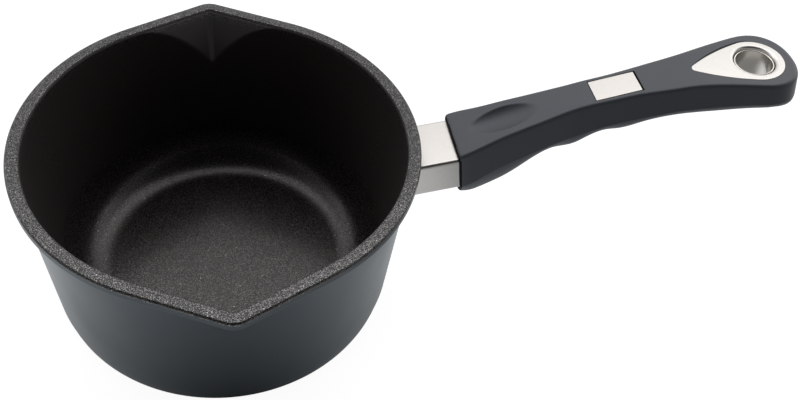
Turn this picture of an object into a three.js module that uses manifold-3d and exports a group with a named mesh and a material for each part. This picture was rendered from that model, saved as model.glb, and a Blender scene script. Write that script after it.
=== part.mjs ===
// A cast saucepan with two pouring lips and a handle that is held on by a sprung latch.
// Millimetres, +Z up. The origin is the centre of the underside, and the handle runs along +X.

import * as THREE from 'three';
import { mergeVertices } from 'three/addons/utils/BufferGeometryUtils.js';
import Module from 'manifold-3d';

const wasm = await Module();
wasm.setup();

// Gap between pieces that touch on the real object
const GAP = 0.3;

// Cutting tools run this far past the surface that they cut
const OVERRUN = 2;

// Half size of a tool that cuts right across the handle
const ACROSS = 60;

// Pan casting
const RIM_RADIUS = 90;
const RIM_INNER_RADIUS = 84;
const RIM_INNER_ROUNDING = 1.5;
const PAN_HEIGHT = 92.3;
const BAND_HEIGHT = 4.2;
const WALL_TOP_RADIUS = 86.7;
const WALL_BASE_RADIUS = 80.9;
const BASE_ROUNDING = 9.9;
const FLOOR_THICKNESS = 5;
const INNER_BASE_RADIUS = 77.4;
const FLOOR_FILLET = 20;
const WALL_LEAN = 0.07;
const INNER_LEAN = 0.1;
const FILLET_STEPS = 8;
const RIM_STEPS = 3;
const TURN_SEGMENTS = 96;
const FACET_ALLOWANCE = 0.1;

// Pouring lips, one at +Y and one at -Y
const LIP_REACH = 9.2;
const LIP_DEPTH = 25.7;
const LIP_ANGLE = Math.acos(RIM_RADIUS / (RIM_RADIUS + LIP_REACH));
const LIP_WEDGE_ROOT = 0.8;

// Ferrule and lug share an axis that starts at the wall and rises towards the handle
const FERRULE_TILT = 0.173;
const FERRULE_START = { x: 86, z: 68.2 };
const FERRULE_HALF_WIDTH = 14.35;
const FERRULE_HALF_HEIGHT = 9.5;
const FERRULE_SHEET = 1.2;
const FERRULE_CORNER = 1.8;
const FERRULE_ROOT = -4;
const FERRULE_END = 27;
const LUG_ROOT = -5;
const LUG_END = 20;
const LUG_CLEARANCE = 0.4;
const LUG_CORNER = 1;
const LUG_HALF_WIDTH = FERRULE_HALF_WIDTH - FERRULE_SHEET - LUG_CLEARANCE;
const LUG_HALF_HEIGHT = FERRULE_HALF_HEIGHT - FERRULE_SHEET - LUG_CLEARANCE;
const CORE_BLOCK_START = 20.5;

// Latch: hook and groove are measured along and across the ferrule's axis
const GROOVE_START = 5;
const GROOVE_HALF_WIDTH = 4.2;
const GROOVE_FLOOR = 2;
const NOTCH = { start: 11, end: 15, floor: -0.2 };
const HOOK = { tip: 10.6, ramp: 11.6, toe: 13.2, heel: 14.6, depth: 2 };
const LEVER_THICKNESS = 1.8;
const LEVER_HALF_WIDTH = 3.4;
const LEVER_HEIGHT = 3.3;
const LEVER_REAR = { start: -14, end: 8.5 };
const LEVER_BEND_SHIFT = 0.4;
const PIVOT = { x: 152, z: 90 };
const PIVOT_PIN_RADIUS = 1.5;
const PIVOT_RUNNING_CLEARANCE = 0.06;
const PIVOT_BOSS_RADIUS = 3;
const CORE_HALF_WIDTH = 5.4;
const CORE_REAR = 160;
const CORE_WALL = { frontLow: -2, frontHigh: 6.8, rearLow: 85.2 };
const CORE_WALL_TOP = [[160, 93.5], [156, 94.2], [148, 93.2]];
const CORE_SLOT = { front: 1.6, rear: 87, open: 12, openRear: 100 };

// Release button, a steel plate that lies in the handle's top at its own slope
const BUTTON_SLOPE = 0.246;
const BUTTON_CENTRE = { x: 182.3, z: 110.65 };
const BUTTON_HALF_LENGTH = 10.95;
const BUTTON_HALF_WIDTH = 6.45;
const BUTTON_SHEET = 1.2;
const BUTTON_CORNER = 0.3;
const BUTTON_REAR_GAP = 0.85;
const BUTTON_SLOT_DEPTH = 12;
const CARRIER_BOTTOM = -8.7;
const CARRIER_INSET = 0.25;
const CARRIER_CORNER = 0.4;

// Return spring under the rear arm of the lever
const SPRING = { x: 181, bottom: 91.25, top: 97.1, radius: 2.9, wire: 0.4, turns: 4.5 };

// Handle outline seen from above: half width at stations along X, then a rounded end whose
// face slopes outwards on its way down
const HANDLE_FRONT = 23.9;
const FRONT_LIP = { setBack: 1.6, top: 12.7, bottom: -15.6, side: 15.2, sideDrop: 0.25 };
const WIDTH_STATIONS = [
  104, 109, 114, 120, 126, 132, 144, 156, 163, 168, 180, 192, 204, 216, 228, 240, 246.7,
];
const HALF_WIDTHS = [
  15.45, 15.4, 15.25, 14.35, 13.1, 12.2, 10.95, 9.75, 9.25, 9.25, 9.45, 9.95, 11.15, 12.35, 14.65, 17.35,
  18.85,
];
const END_CENTRE = 251.7;
const END_LENGTH = 16.9;
const END_HALF_WIDTH = 19.35;
const END_POWER = 0.91;
const END_START_ANGLE = -0.23;
const END_STEPS = 12;
const END_LEAN = { slope: 0.33, from: 222, to: 246, passes: 3 };
const BODY_STEPS = 28;
const TOP_EDGE_STEPS = 3;

// Handle heights along X: top face, crisp lower edge of the side, and underside with finger waves
const TOP_STATIONS = [104, 109, 120, 132, 144, 156, 168, 180, 192, 204, 216, 219, 265, 275];
const TOP_HEIGHTS = [
  83, 85.2, 89.6, 94.5, 98.8, 103.2, 107.1, 110, 113.1, 115.7, 118.4, 119, 123.8, 124.9,
];
const EDGE_STATIONS = [104, 113, 125, 137, 150, 160, 172, 185, 195, 213, 227, 240, 254, 275];
const EDGE_HEIGHTS = [
  62.4, 66.1, 71.3, 76.8, 82.2, 86.2, 91.2, 95.6, 98.6, 103.5, 106.8, 109.5, 111.3, 112.6,
];
const BASE_STATIONS = [
  104, 112, 120, 128, 137, 146, 155, 162, 168, 174, 181, 188, 194, 200, 215, 233, 251, 275,
];
const BASE_HEIGHTS = [
  58.6, 57.3, 56.9, 59.2, 64.1, 71.7, 78, 79.2, 80.8, 85, 88.3, 89, 90.8, 93.5, 97.7, 101.2, 104.6, 107,
];
const HANDLE_SPAN = { front: 100, rear: 275 };
const TOP_EDGE_ROUNDING = 2;
const BEVEL_SHARE = 0.28;
const BEVEL_MOST = 3.9;
const BEVEL_KNEE = { inset: 0.4, drop: 0.55 };
const END_BEVEL = { share: 0.46, inset: 0.28, drop: 0.94, spread: 1.5 };
const BASE_EDGE = { width: 1.8, height: 0.8 };

// Thumb hollow in the top face
const THUMB = { x: 131, z: 97.1, slope: 0.39, length: 21, width: 9, depth: 5 };

// Hollows of the handle
const CAVITY_HALF_WIDTH = 6.3;
const CAVITY_FRONT_HALF_WIDTH = 5.7;
const CAVITY_CEILING = [[110, 81.5], [120, 84], [145, 93.5], [160, 99], [170, 103.5], [197, 108.5]];
const CAVITY_STEP = [126, 86.3];
const CAVITY_BELOW = 60;
const CAVITY_REAR = 197;
const LOWER_FLOOR = 2.4;
const LOWER_CAVITY_HALF_WIDTH = 5.9;
const LOWER_CAVITY_FRONT = 127;

// Ears of the core, clamped between the shells by the two front screws on their columns
const EAR = { front: 114.2, rear: 122, halfWidth: 10.3, bottom: 70.8, top: 73.6 };
const EAR_ROOM = 1;
const COLUMN_FOOT = 62;
const COLUMN_WALL = 1;

// Hanging eye: plate and sleeve lie square to the flat rear part of the top face
const EYE_SLOPE = Math.atan((123.8 - 119) / (265 - 219));
const EYE = { x: 249.7, z: 122.2 };
const PLATE_PROUD = 0.2;
const PLATE_SHEET = 1;
const PLATE_END_RADIUS = 13.75;
const PLATE_TIP = { reach: 29, radius: 2.35 };
const PLATE_BULGE = { reach: 18, halfWidth: 9.7 };
const PLATE_FLANK = { end: 0.55, tip: 1.35 };
const COLLAR_RADIUS = 11.1;
const COLLAR_ROUNDING = 1.5;
const COLLAR_SHEET = 0.9;
const COLLAR_LAP = 0.4;
const EYELET = { outer: 9.3, inner: 8.5, top: -1.1, bottom: -17.3, flange: 11.4, flangeSheet: 0.8 };

// Screws: where they stand, how deep their heads sit and how far they reach
const SCREW_HEAD_RADIUS = 2.5;
const SCREW_HEAD_HEIGHT = 1.8;
const SCREW_SHANK_RADIUS = 1.3;
const SCREW_POINT = 1.5;
const SCREW_DOME = { radius: 0.7, height: 0.55 };
const SCREW_RECESS = { reach: 1.4, halfWidth: 0.35, depth: 1 };
const SCREWS = [
  { name: 'shell_screw_front_left', x: 118, y: 7.7, seat: 60.4, end: 82 },
  { name: 'shell_screw_front_right', x: 118, y: -7.7, seat: 60.4, end: 82 },
  { name: 'shell_screw_middle', x: 204, y: 0, seat: 98.2, end: 111 },
  { name: 'shell_screw_rear', x: 229, y: 0, seat: 104, end: 114.5 },
];

// Finishes
const FINISH = {
  coating: { color: 0x2b2c2f, roughness: 0.55, metalness: 0.3 },
  steel: { color: 0xcac6bf, roughness: 0.3, metalness: 1 },
  plastic: { color: 0x2c2e31, roughness: 0.5, metalness: 0 },
  zinc: { color: 0x6f7276, roughness: 0.4, metalness: 0.9 },
};

// Geometry helpers

// One closed surface with shared vertices and no collapsed triangles
function weld(geometry) {
  const bare = geometry.clone();
  bare.deleteAttribute('normal');
  bare.deleteAttribute('uv');
  const welded = mergeVertices(bare, 1e-4);
  const corners = welded.index.array;
  const kept = [];
  for (let i = 0; i < corners.length; i += 3) {
    const [a, b, c] = corners.slice(i, i + 3);
    if (a !== b && b !== c && c !== a) kept.push(a, b, c);
  }
  welded.setIndex(kept);
  return welded;
}

function signedVolume(positions, corners) {
  const a = new THREE.Vector3();
  const b = new THREE.Vector3();
  const c = new THREE.Vector3();
  let volume = 0;
  for (let i = 0; i < corners.length; i += 3) {
    a.fromArray(positions, corners[i] * 3);
    b.fromArray(positions, corners[i + 1] * 3);
    c.fromArray(positions, corners[i + 2] * 3);
    volume += a.dot(b.cross(c)) / 6;
  }
  return volume;
}

function solid(geometry) {
  const welded = weld(geometry);
  const vertProperties = new Float32Array(welded.attributes.position.array);
  const triVerts = new Uint32Array(welded.index.array);
  if (signedVolume(vertProperties, triVerts) < 0) triVerts.reverse();
  return new wasm.Manifold(new wasm.Mesh({ numProp: 3, vertProperties, triVerts }));
}

function union(solids) {
  return solids.reduce((sum, next) => sum.add(next));
}

function cut(body, tools) {
  return tools.reduce((left, tool) => left.subtract(tool), body);
}

function surface(body) {
  const mesh = body.getMesh();
  const geometry = new THREE.BufferGeometry();
  geometry.setAttribute('position', new THREE.BufferAttribute(new Float32Array(mesh.vertProperties), 3));
  geometry.setIndex(new THREE.BufferAttribute(new Uint32Array(mesh.triVerts), 1));
  return geometry;
}

function block(x0, x1, y0, y1, z0, z1) {
  const geometry = new THREE.BoxGeometry(x1 - x0, y1 - y0, z1 - z0);
  return geometry.translate((x0 + x1) / 2, (y0 + y1) / 2, (z0 + z1) / 2);
}

// Upright cylinder between two heights
function post(x, y, z0, z1, radius, sides = 24) {
  const geometry = new THREE.CylinderGeometry(radius, radius, z1 - z0, sides);
  return geometry.rotateX(Math.PI / 2).translate(x, y, (z0 + z1) / 2);
}

// Side view outline in X and Z, given as [x, z] points, made thick along Y
function slab(points, halfWidth) {
  const shape = new THREE.Shape(points.map(([x, z]) => new THREE.Vector2(x, z)));
  const geometry = new THREE.ExtrudeGeometry(shape, { depth: 2 * halfWidth, bevelEnabled: false });
  return geometry.rotateX(Math.PI / 2).translate(0, halfWidth, 0);
}

// Profile of [radius, z] points turned about Z
function turned(points, segments = TURN_SEGMENTS) {
  const profile = points.map(([radius, z]) => new THREE.Vector2(radius, z));
  return new THREE.LatheGeometry(profile, segments).rotateX(Math.PI / 2);
}

function arcPoints(centreR, centreZ, radius, from, to, steps) {
  const points = [];
  for (let i = 0; i <= steps; i += 1) {
    const angle = THREE.MathUtils.lerp(from, to, i / steps);
    points.push([centreR + radius * Math.cos(angle), centreZ + radius * Math.sin(angle)]);
  }
  return points;
}

// Places a shape that was made along X into a frame that slopes up towards +X
function sloped(geometry, slope, origin) {
  return geometry.rotateY(-slope).translate(origin.x, 0, origin.z);
}

// World [x, z] of a point given along and across a sloped axis
function slopedPoint(along, across, slope, origin) {
  return [
    origin.x + along * Math.cos(slope) - across * Math.sin(slope),
    origin.z + along * Math.sin(slope) + across * Math.cos(slope),
  ];
}

function ferrulePoint(along, across) {
  return slopedPoint(along, across, FERRULE_TILT, FERRULE_START);
}

function roundedBar(halfWidth, halfHeight, corner, from, to) {
  const shape = new THREE.Shape();
  const right = halfWidth - corner;
  const top = halfHeight - corner;
  shape.absarc(right, top, corner, 0, Math.PI / 2);
  shape.absarc(-right, top, corner, Math.PI / 2, Math.PI);
  shape.absarc(-right, -top, corner, Math.PI, Math.PI * 1.5);
  shape.absarc(right, -top, corner, Math.PI * 1.5, Math.PI * 2);
  const options = { depth: to - from, bevelEnabled: false, curveSegments: 4 };
  const geometry = new THREE.ExtrudeGeometry(shape, options);
  const axes = new THREE.Matrix4().makeBasis(
    new THREE.Vector3(0, 1, 0),
    new THREE.Vector3(0, 0, 1),
    new THREE.Vector3(1, 0, 0),
  );
  return geometry.applyMatrix4(axes).translate(from, 0, 0);
}

function alongStations(stations, values) {
  const curve = new THREE.CubicInterpolant(stations, values, 1);
  return (x) => curve.evaluate(x)[0];
}

const halfWidthAt = alongStations(WIDTH_STATIONS, HALF_WIDTHS);
const topAt = alongStations(TOP_STATIONS, TOP_HEIGHTS);
const edgeAt = alongStations(EDGE_STATIONS, EDGE_HEIGHTS);
const baseAt = alongStations(BASE_STATIONS, BASE_HEIGHTS);

// Pan

function wallRadiusAt(z) {
  const top = PAN_HEIGHT - BAND_HEIGHT;
  return THREE.MathUtils.mapLinear(z, 0, top, WALL_BASE_RADIUS, WALL_TOP_RADIUS);
}

// The inner wall runs straight from the floor's fillet to the rounding under the rim
function innerRadiusAt(z) {
  const top = PAN_HEIGHT - RIM_INNER_ROUNDING;
  const foot = FLOOR_THICKNESS + FLOOR_FILLET * (1 - Math.sin(INNER_LEAN));
  const footRadius = INNER_BASE_RADIUS - FLOOR_FILLET * (1 - Math.cos(INNER_LEAN));
  return THREE.MathUtils.mapLinear(z, foot, top, footRadius, RIM_INNER_RADIUS);
}

// Wedge whose two flat faces meet in the crease of a lip. Each ring of the wedge keeps its
// faces at a given distance from the pan's axis, so the faces stay flat between two rings.
function lipWedge(side, rings) {
  const positions = [];
  for (const { z, distance } of rings) {
    const across = distance * Math.sin(LIP_ANGLE);
    const out = distance * Math.cos(LIP_ANGLE);
    const tip = distance / Math.cos(LIP_ANGLE);
    const inside = out * LIP_WEDGE_ROOT;
    const corners = [[-across, inside], [-across, out], [0, tip], [across, out], [across, inside]];
    for (const [x, y] of corners) positions.push(x, y * side, z);
  }
  const sides = 5;
  const last = (rings.length - 1) * sides;
  const index = [];
  for (let low = 0; low < last; low += sides) {
    for (let i = 0; i < sides; i += 1) {
      const a = low + i;
      const b = low + ((i + 1) % sides);
      index.push(a, b, b + sides, a, b + sides, a + sides);
    }
  }
  for (let i = 1; i < sides - 1; i += 1) {
    index.push(0, i + 1, i, last, last + i, last + i + 1);
  }
  const geometry = new THREE.BufferGeometry();
  geometry.setAttribute('position', new THREE.Float32BufferAttribute(positions, 3));
  geometry.setIndex(index);
  return solid(geometry);
}

function panBody() {
  const bandBottom = PAN_HEIGHT - BAND_HEIGHT;
  const creaseEnd = PAN_HEIGHT - LIP_DEPTH;
  const over = PAN_HEIGHT + OVERRUN;
  const down = -Math.PI / 2;
  const flatRadius = WALL_BASE_RADIUS - BASE_ROUNDING;
  const outside = solid(turned([
    [0, 0],
    ...arcPoints(flatRadius, BASE_ROUNDING, BASE_ROUNDING, down, -WALL_LEAN, FILLET_STEPS),
    [WALL_TOP_RADIUS, bandBottom],
    [RIM_RADIUS, bandBottom],
    [RIM_RADIUS, PAN_HEIGHT],
    [0, PAN_HEIGHT],
  ]));
  const rimEdge = arcPoints(
    RIM_INNER_RADIUS + RIM_INNER_ROUNDING,
    PAN_HEIGHT - RIM_INNER_ROUNDING,
    RIM_INNER_ROUNDING,
    Math.PI,
    Math.PI / 2,
    RIM_STEPS,
  );
  rimEdge.push([RIM_INNER_RADIUS + RIM_INNER_ROUNDING, over]);
  const filletRadius = INNER_BASE_RADIUS - FLOOR_FILLET;
  const filletHeight = FLOOR_THICKNESS + FLOOR_FILLET;
  const inside = solid(turned([
    [0, FLOOR_THICKNESS],
    ...arcPoints(filletRadius, filletHeight, FLOOR_FILLET, down, -INNER_LEAN, FILLET_STEPS),
    ...rimEdge,
    [0, over],
  ]));
  const outerEnd = wallRadiusAt(creaseEnd) * Math.cos(LIP_ANGLE);
  const innerEnd = innerRadiusAt(creaseEnd) * Math.cos(LIP_ANGLE);
  const lug = roundedBar(LUG_HALF_WIDTH, LUG_HALF_HEIGHT, LUG_CORNER, LUG_ROOT, LUG_END);
  const body = [outside, solid(sloped(lug, FERRULE_TILT, FERRULE_START))];
  const hollow = [inside];
  for (const side of [1, -1]) {
    body.push(lipWedge(side, [
      { z: bandBottom, distance: RIM_RADIUS },
      { z: PAN_HEIGHT, distance: RIM_RADIUS },
    ]));
    body.push(lipWedge(side, [
      { z: creaseEnd, distance: outerEnd },
      { z: bandBottom + 1, distance: WALL_TOP_RADIUS },
    ]));
    hollow.push(lipWedge(side, [
      { z: creaseEnd, distance: innerEnd },
      ...rimEdge.map(([distance, z]) => ({ z, distance })),
    ]));
  }
  const width = GROOVE_HALF_WIDTH;
  const past = LUG_END + OVERRUN;
  const groove = block(GROOVE_START, past, -width, width, GROOVE_FLOOR, FERRULE_HALF_HEIGHT);
  const notch = block(NOTCH.start, NOTCH.end, -width, width, NOTCH.floor, FERRULE_HALF_HEIGHT);
  for (const pocket of [groove, notch]) {
    hollow.push(solid(sloped(pocket, FERRULE_TILT, FERRULE_START)));
  }
  return surface(cut(union(body), hollow));
}

// Ferrule

// The sleeve's end follows the pan's round wall
function ferrule() {
  const outside = roundedBar(
    FERRULE_HALF_WIDTH,
    FERRULE_HALF_HEIGHT,
    FERRULE_CORNER,
    FERRULE_ROOT,
    FERRULE_END,
  );
  const inside = roundedBar(
    FERRULE_HALF_WIDTH - FERRULE_SHEET,
    FERRULE_HALF_HEIGHT - FERRULE_SHEET,
    FERRULE_CORNER - FERRULE_SHEET,
    FERRULE_ROOT - OVERRUN,
    FERRULE_END + OVERRUN,
  );
  const apart = GAP + FACET_ALLOWANCE;
  const wall = solid(turned([
    [0, 0],
    [wallRadiusAt(0) + apart, 0],
    [wallRadiusAt(PAN_HEIGHT) + apart, PAN_HEIGHT],
    [0, PAN_HEIGHT],
  ]));
  const bar = solid(sloped(outside, FERRULE_TILT, FERRULE_START));
  return surface(cut(bar, [solid(sloped(inside, FERRULE_TILT, FERRULE_START)), wall]));
}

// Handle

// Stations of the outline: a point on the +Y side, and the outward direction there
function outlineStations() {
  const stations = [];
  const front = WIDTH_STATIONS[0];
  const joint = WIDTH_STATIONS[WIDTH_STATIONS.length - 1];
  for (let i = 0; i < BODY_STEPS; i += 1) {
    const x = THREE.MathUtils.lerp(front, joint, i / BODY_STEPS);
    const rise = (halfWidthAt(x + 0.5) - halfWidthAt(x)) / 0.5;
    const length = Math.hypot(rise, 1);
    stations.push({ x, y: halfWidthAt(x), nx: -rise / length, ny: 1 / length });
  }
  for (let i = 0; i <= END_STEPS; i += 1) {
    const angle = THREE.MathUtils.lerp(END_START_ANGLE, Math.PI / 2, i / END_STEPS);
    const sine = Math.sin(angle);
    const cosine = i === END_STEPS ? 0 : Math.cos(angle);
    const length = Math.hypot(sine / END_LENGTH, cosine / END_HALF_WIDTH);
    stations.push({
      x: END_CENTRE + END_LENGTH * Math.sign(sine) * Math.abs(sine) ** END_POWER,
      y: END_HALF_WIDTH * cosine ** END_POWER,
      nx: sine / END_LENGTH / length,
      ny: cosine / END_HALF_WIDTH / length,
    });
  }
  return stations;
}

// How far the end's lean moves a point back, from the height that the section has at its place
function leaned(x, weight, heightAt) {
  let moved = x;
  for (let i = 0; i < END_LEAN.passes; i += 1) {
    moved = x - weight * END_LEAN.slope * (heightAt(moved) - topAt(x));
  }
  return moved;
}

// Half of a handle section, from the top's middle to the underside's middle
function sectionPoints(station) {
  const { x, y, nx, ny } = station;
  const ended = x > END_CENTRE ? Math.max(nx, 0) ** END_BEVEL.spread : 0;
  const widest = Math.max(y, nx * END_LENGTH);
  const blend = (plain, atEnd) => THREE.MathUtils.lerp(plain, atEnd, ended);
  const bevel = Math.min(BEVEL_SHARE * widest, BEVEL_MOST) * blend(1, END_BEVEL.share);
  const kneeInset = bevel * blend(BEVEL_KNEE.inset, END_BEVEL.inset);
  const kneeDrop = blend(BEVEL_KNEE.drop, END_BEVEL.drop);
  const flat = bevel + BASE_EDGE.width;
  const weight = THREE.MathUtils.smoothstep(x, END_LEAN.from, END_LEAN.to);
  const bevelEndAt = (at) => baseAt(at) + BASE_EDGE.height;
  const points = [];
  const add = (inset, heightAt, across = y - inset * ny) => {
    const placed = leaned(x - inset * nx, weight, heightAt);
    points.push([placed, Math.max(across, 0), heightAt(placed)]);
  };
  const rounding = TOP_EDGE_ROUNDING;
  add(rounding, topAt, 0);
  for (let i = 0; i <= TOP_EDGE_STEPS; i += 1) {
    const angle = (i / TOP_EDGE_STEPS) * (Math.PI / 2);
    const drop = rounding * (1 - Math.cos(angle));
    add(rounding * (1 - Math.sin(angle)), (at) => topAt(at) - drop);
  }
  add(0, edgeAt);
  add(kneeInset, (at) => THREE.MathUtils.lerp(edgeAt(at), bevelEndAt(at), kneeDrop));
  add(bevel, bevelEndAt);
  add(flat, baseAt);
  add(flat, baseAt, 0);
  return points;
}

function handleBlank() {
  const rings = outlineStations().map((station) => {
    const right = sectionPoints(station);
    const left = right.slice(1, -1).reverse().map(([x, y, z]) => [x, -y, z]);
    return [...right, ...left];
  });
  const count = rings[0].length;
  const positions = rings.flat(2);
  const index = [];
  for (let i = 0; i < rings.length - 1; i += 1) {
    for (let j = 0; j < count; j += 1) {
      const a = i * count + j;
      const b = i * count + ((j + 1) % count);
      index.push(a, b, b + count, a, b + count, a + count);
    }
  }
  for (let j = 1; j < count - 1; j += 1) index.push(0, j + 1, j);
  const geometry = new THREE.BufferGeometry();
  geometry.setAttribute('position', new THREE.Float32BufferAttribute(positions, 3));
  geometry.setIndex(index);
  const front = sloped(
    block(-ACROSS, HANDLE_FRONT, -ACROSS, ACROSS, -ACROSS, ACROSS),
    FERRULE_TILT,
    FERRULE_START,
  );
  return cut(solid(geometry), [solid(front), ...frontLipCuts()]);
}

// Bevels that take the edges off the handle's front face
function frontLipCuts() {
  const { setBack, top, bottom, side, sideDrop } = FRONT_LIP;
  const back = HANDLE_FRONT + setBack;
  const front = HANDLE_FRONT - setBack;
  const levels = [[top, 1], [bottom, -1]].map(([level, sign]) => slab([
    [front, level - sign * 2 * setBack],
    [back, level],
    [back, sign * ACROSS],
    [front, sign * ACROSS],
  ], ACROSS));
  const sides = [1, -1].map((sign) => {
    const shape = new THREE.Shape([
      new THREE.Vector2(front, sign * (side - 2 * sideDrop)),
      new THREE.Vector2(back, sign * side),
      new THREE.Vector2(back, sign * ACROSS),
      new THREE.Vector2(front, sign * ACROSS),
    ]);
    const options = { depth: 2 * ACROSS, bevelEnabled: false };
    return new THREE.ExtrudeGeometry(shape, options).translate(0, 0, -ACROSS);
  });
  return [...levels, ...sides].map((tool) => solid(sloped(tool, FERRULE_TILT, FERRULE_START)));
}

// Everything above (side 1) or below (side -1) the line where the two shells meet
function partingSlab(side) {
  const { front, rear } = HANDLE_SPAN;
  const points = [];
  for (let i = 0; i <= BODY_STEPS; i += 1) {
    const x = THREE.MathUtils.lerp(front, rear, i / BODY_STEPS);
    points.push([x, edgeAt(Math.max(x, EDGE_STATIONS[0])) + side * GAP / 2]);
  }
  const limit = PAN_HEIGHT + side * ACROSS;
  points.push([rear, limit], [front, limit]);
  return solid(slab(points, ACROSS));
}

function ferrulePocket() {
  const bar = roundedBar(
    FERRULE_HALF_WIDTH + GAP,
    FERRULE_HALF_HEIGHT + GAP,
    FERRULE_CORNER + GAP,
    HANDLE_FRONT - OVERRUN,
    FERRULE_END + GAP,
  );
  return solid(sloped(bar, FERRULE_TILT, FERRULE_START));
}

function buttonSlot() {
  const side = BUTTON_HALF_WIDTH + GAP;
  const front = -BUTTON_HALF_LENGTH - GAP;
  const rear = BUTTON_HALF_LENGTH + BUTTON_REAR_GAP;
  const slot = block(front, rear, -side, side, -BUTTON_SLOT_DEPTH, OVERRUN);
  return solid(sloped(slot, BUTTON_SLOPE, BUTTON_CENTRE));
}

function thumbHollow() {
  const geometry = new THREE.SphereGeometry(1, 28, 18);
  geometry.scale(THUMB.length, THUMB.width, THUMB.depth);
  return solid(sloped(geometry, THUMB.slope, THUMB));
}

// The rest of the eye is turned about its own axis, with heights measured from the plate's top
function eyeTool(points, segments = 32) {
  return solid(sloped(turned(points, segments), EYE_SLOPE, { x: EYE.x, z: EYE.z + PLATE_PROUD }));
}

function eyeBore(radius, from, to) {
  return eyeTool([[0, from], [radius, from], [radius, to], [0, to]]);
}

function dropShape(grow) {
  const end = PLATE_END_RADIUS + grow;
  const tip = PLATE_TIP.radius + grow;
  const lean = Math.asin((PLATE_END_RADIUS - PLATE_TIP.radius) / PLATE_TIP.reach);
  const endAngle = Math.PI / 2 + lean * PLATE_FLANK.end;
  const tipAngle = Math.PI / 2 + lean * PLATE_FLANK.tip;
  const shape = new THREE.Shape();
  shape.absarc(0, 0, end, -endAngle, endAngle);
  shape.quadraticCurveTo(
    -PLATE_BULGE.reach,
    PLATE_BULGE.halfWidth + grow,
    -PLATE_TIP.reach + tip * Math.cos(tipAngle),
    tip * Math.sin(tipAngle),
  );
  shape.absarc(-PLATE_TIP.reach, 0, tip, tipAngle, Math.PI * 2 - tipAngle);
  shape.quadraticCurveTo(
    -PLATE_BULGE.reach,
    -PLATE_BULGE.halfWidth - grow,
    end * Math.cos(endAngle),
    -end * Math.sin(endAngle),
  );
  return shape;
}

function dropPlate(grow, bottom, top) {
  const options = { depth: top - bottom, bevelEnabled: false, curveSegments: 14 };
  const geometry = new THREE.ExtrudeGeometry(dropShape(grow), options).translate(0, 0, bottom);
  return solid(sloped(geometry, EYE_SLOPE, { x: EYE.x, z: EYE.z + PLATE_PROUD }));
}

function screwHoles() {
  const tools = [];
  for (const { x, y, seat, end } of SCREWS) {
    tools.push(solid(post(x, y, seat - ACROSS, seat + GAP, SCREW_HEAD_RADIUS + GAP)));
    tools.push(solid(post(x, y, seat, end + GAP * 3, SCREW_SHANK_RADIUS + GAP, 16)));
  }
  return tools;
}

function upperShell(blank) {
  const [stepX] = CAVITY_STEP;
  const [frontX] = CAVITY_CEILING[0];
  const [middleX] = CAVITY_CEILING[2];
  const wide = [[stepX, CAVITY_BELOW], CAVITY_STEP, ...CAVITY_CEILING.slice(2), [CAVITY_REAR, CAVITY_BELOW]];
  const narrow = [[frontX, CAVITY_BELOW], ...CAVITY_CEILING.slice(0, 3), [middleX, CAVITY_BELOW]];
  const earPocket = block(
    EAR.front - EAR_ROOM,
    EAR.rear + EAR_ROOM,
    -EAR.halfWidth - EAR_ROOM / 2,
    EAR.halfWidth + EAR_ROOM / 2,
    CAVITY_BELOW,
    EAR.top + GAP,
  );
  return surface(cut(blank.intersect(partingSlab(1)), [
    ferrulePocket(),
    solid(slab(narrow, CAVITY_FRONT_HALF_WIDTH)),
    solid(slab(wide, CAVITY_HALF_WIDTH)),
    solid(earPocket),
    buttonSlot(),
    thumbHollow(),
    dropPlate(GAP, -PLATE_SHEET - GAP, OVERRUN),
    eyeBore(COLLAR_RADIUS + GAP, -COLLAR_ROUNDING - COLLAR_LAP - GAP, OVERRUN),
    eyeBore(EYELET.outer + GAP, -ACROSS, OVERRUN),
    ...screwHoles(),
  ]));
}

function lowerShell(blank) {
  const floor = [];
  const from = LOWER_CAVITY_FRONT;
  const to = CAVITY_REAR - 1;
  const steps = 18;
  for (let i = 0; i <= steps; i += 1) {
    const x = THREE.MathUtils.lerp(from, to, i / steps);
    floor.push([x, baseAt(x) + LOWER_FLOOR]);
  }
  const open = PAN_HEIGHT + ACROSS;
  const cavity = [...floor, [to, open], [from, open]];
  const columnRadius = SCREW_SHANK_RADIUS + GAP + COLUMN_WALL;
  const columns = SCREWS.filter(({ y }) => y !== 0).map(({ x, y }) => {
    return solid(post(x, y, COLUMN_FOOT, EAR.bottom - GAP, columnRadius));
  });
  const body = union([blank.intersect(partingSlab(-1)), ...columns]);
  return surface(cut(body, [
    ferrulePocket(),
    solid(slab(cavity, LOWER_CAVITY_HALF_WIDTH)),
    eyeBore(EYELET.outer + GAP, -ACROSS, OVERRUN),
    eyeBore(EYELET.flange + GAP, -ACROSS, EYELET.bottom + EYELET.flangeSheet + GAP),
    ...screwHoles(),
  ]));
}

// Core: a block that closes the ferrule, a channel for the lever and two ears for the screws

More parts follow.
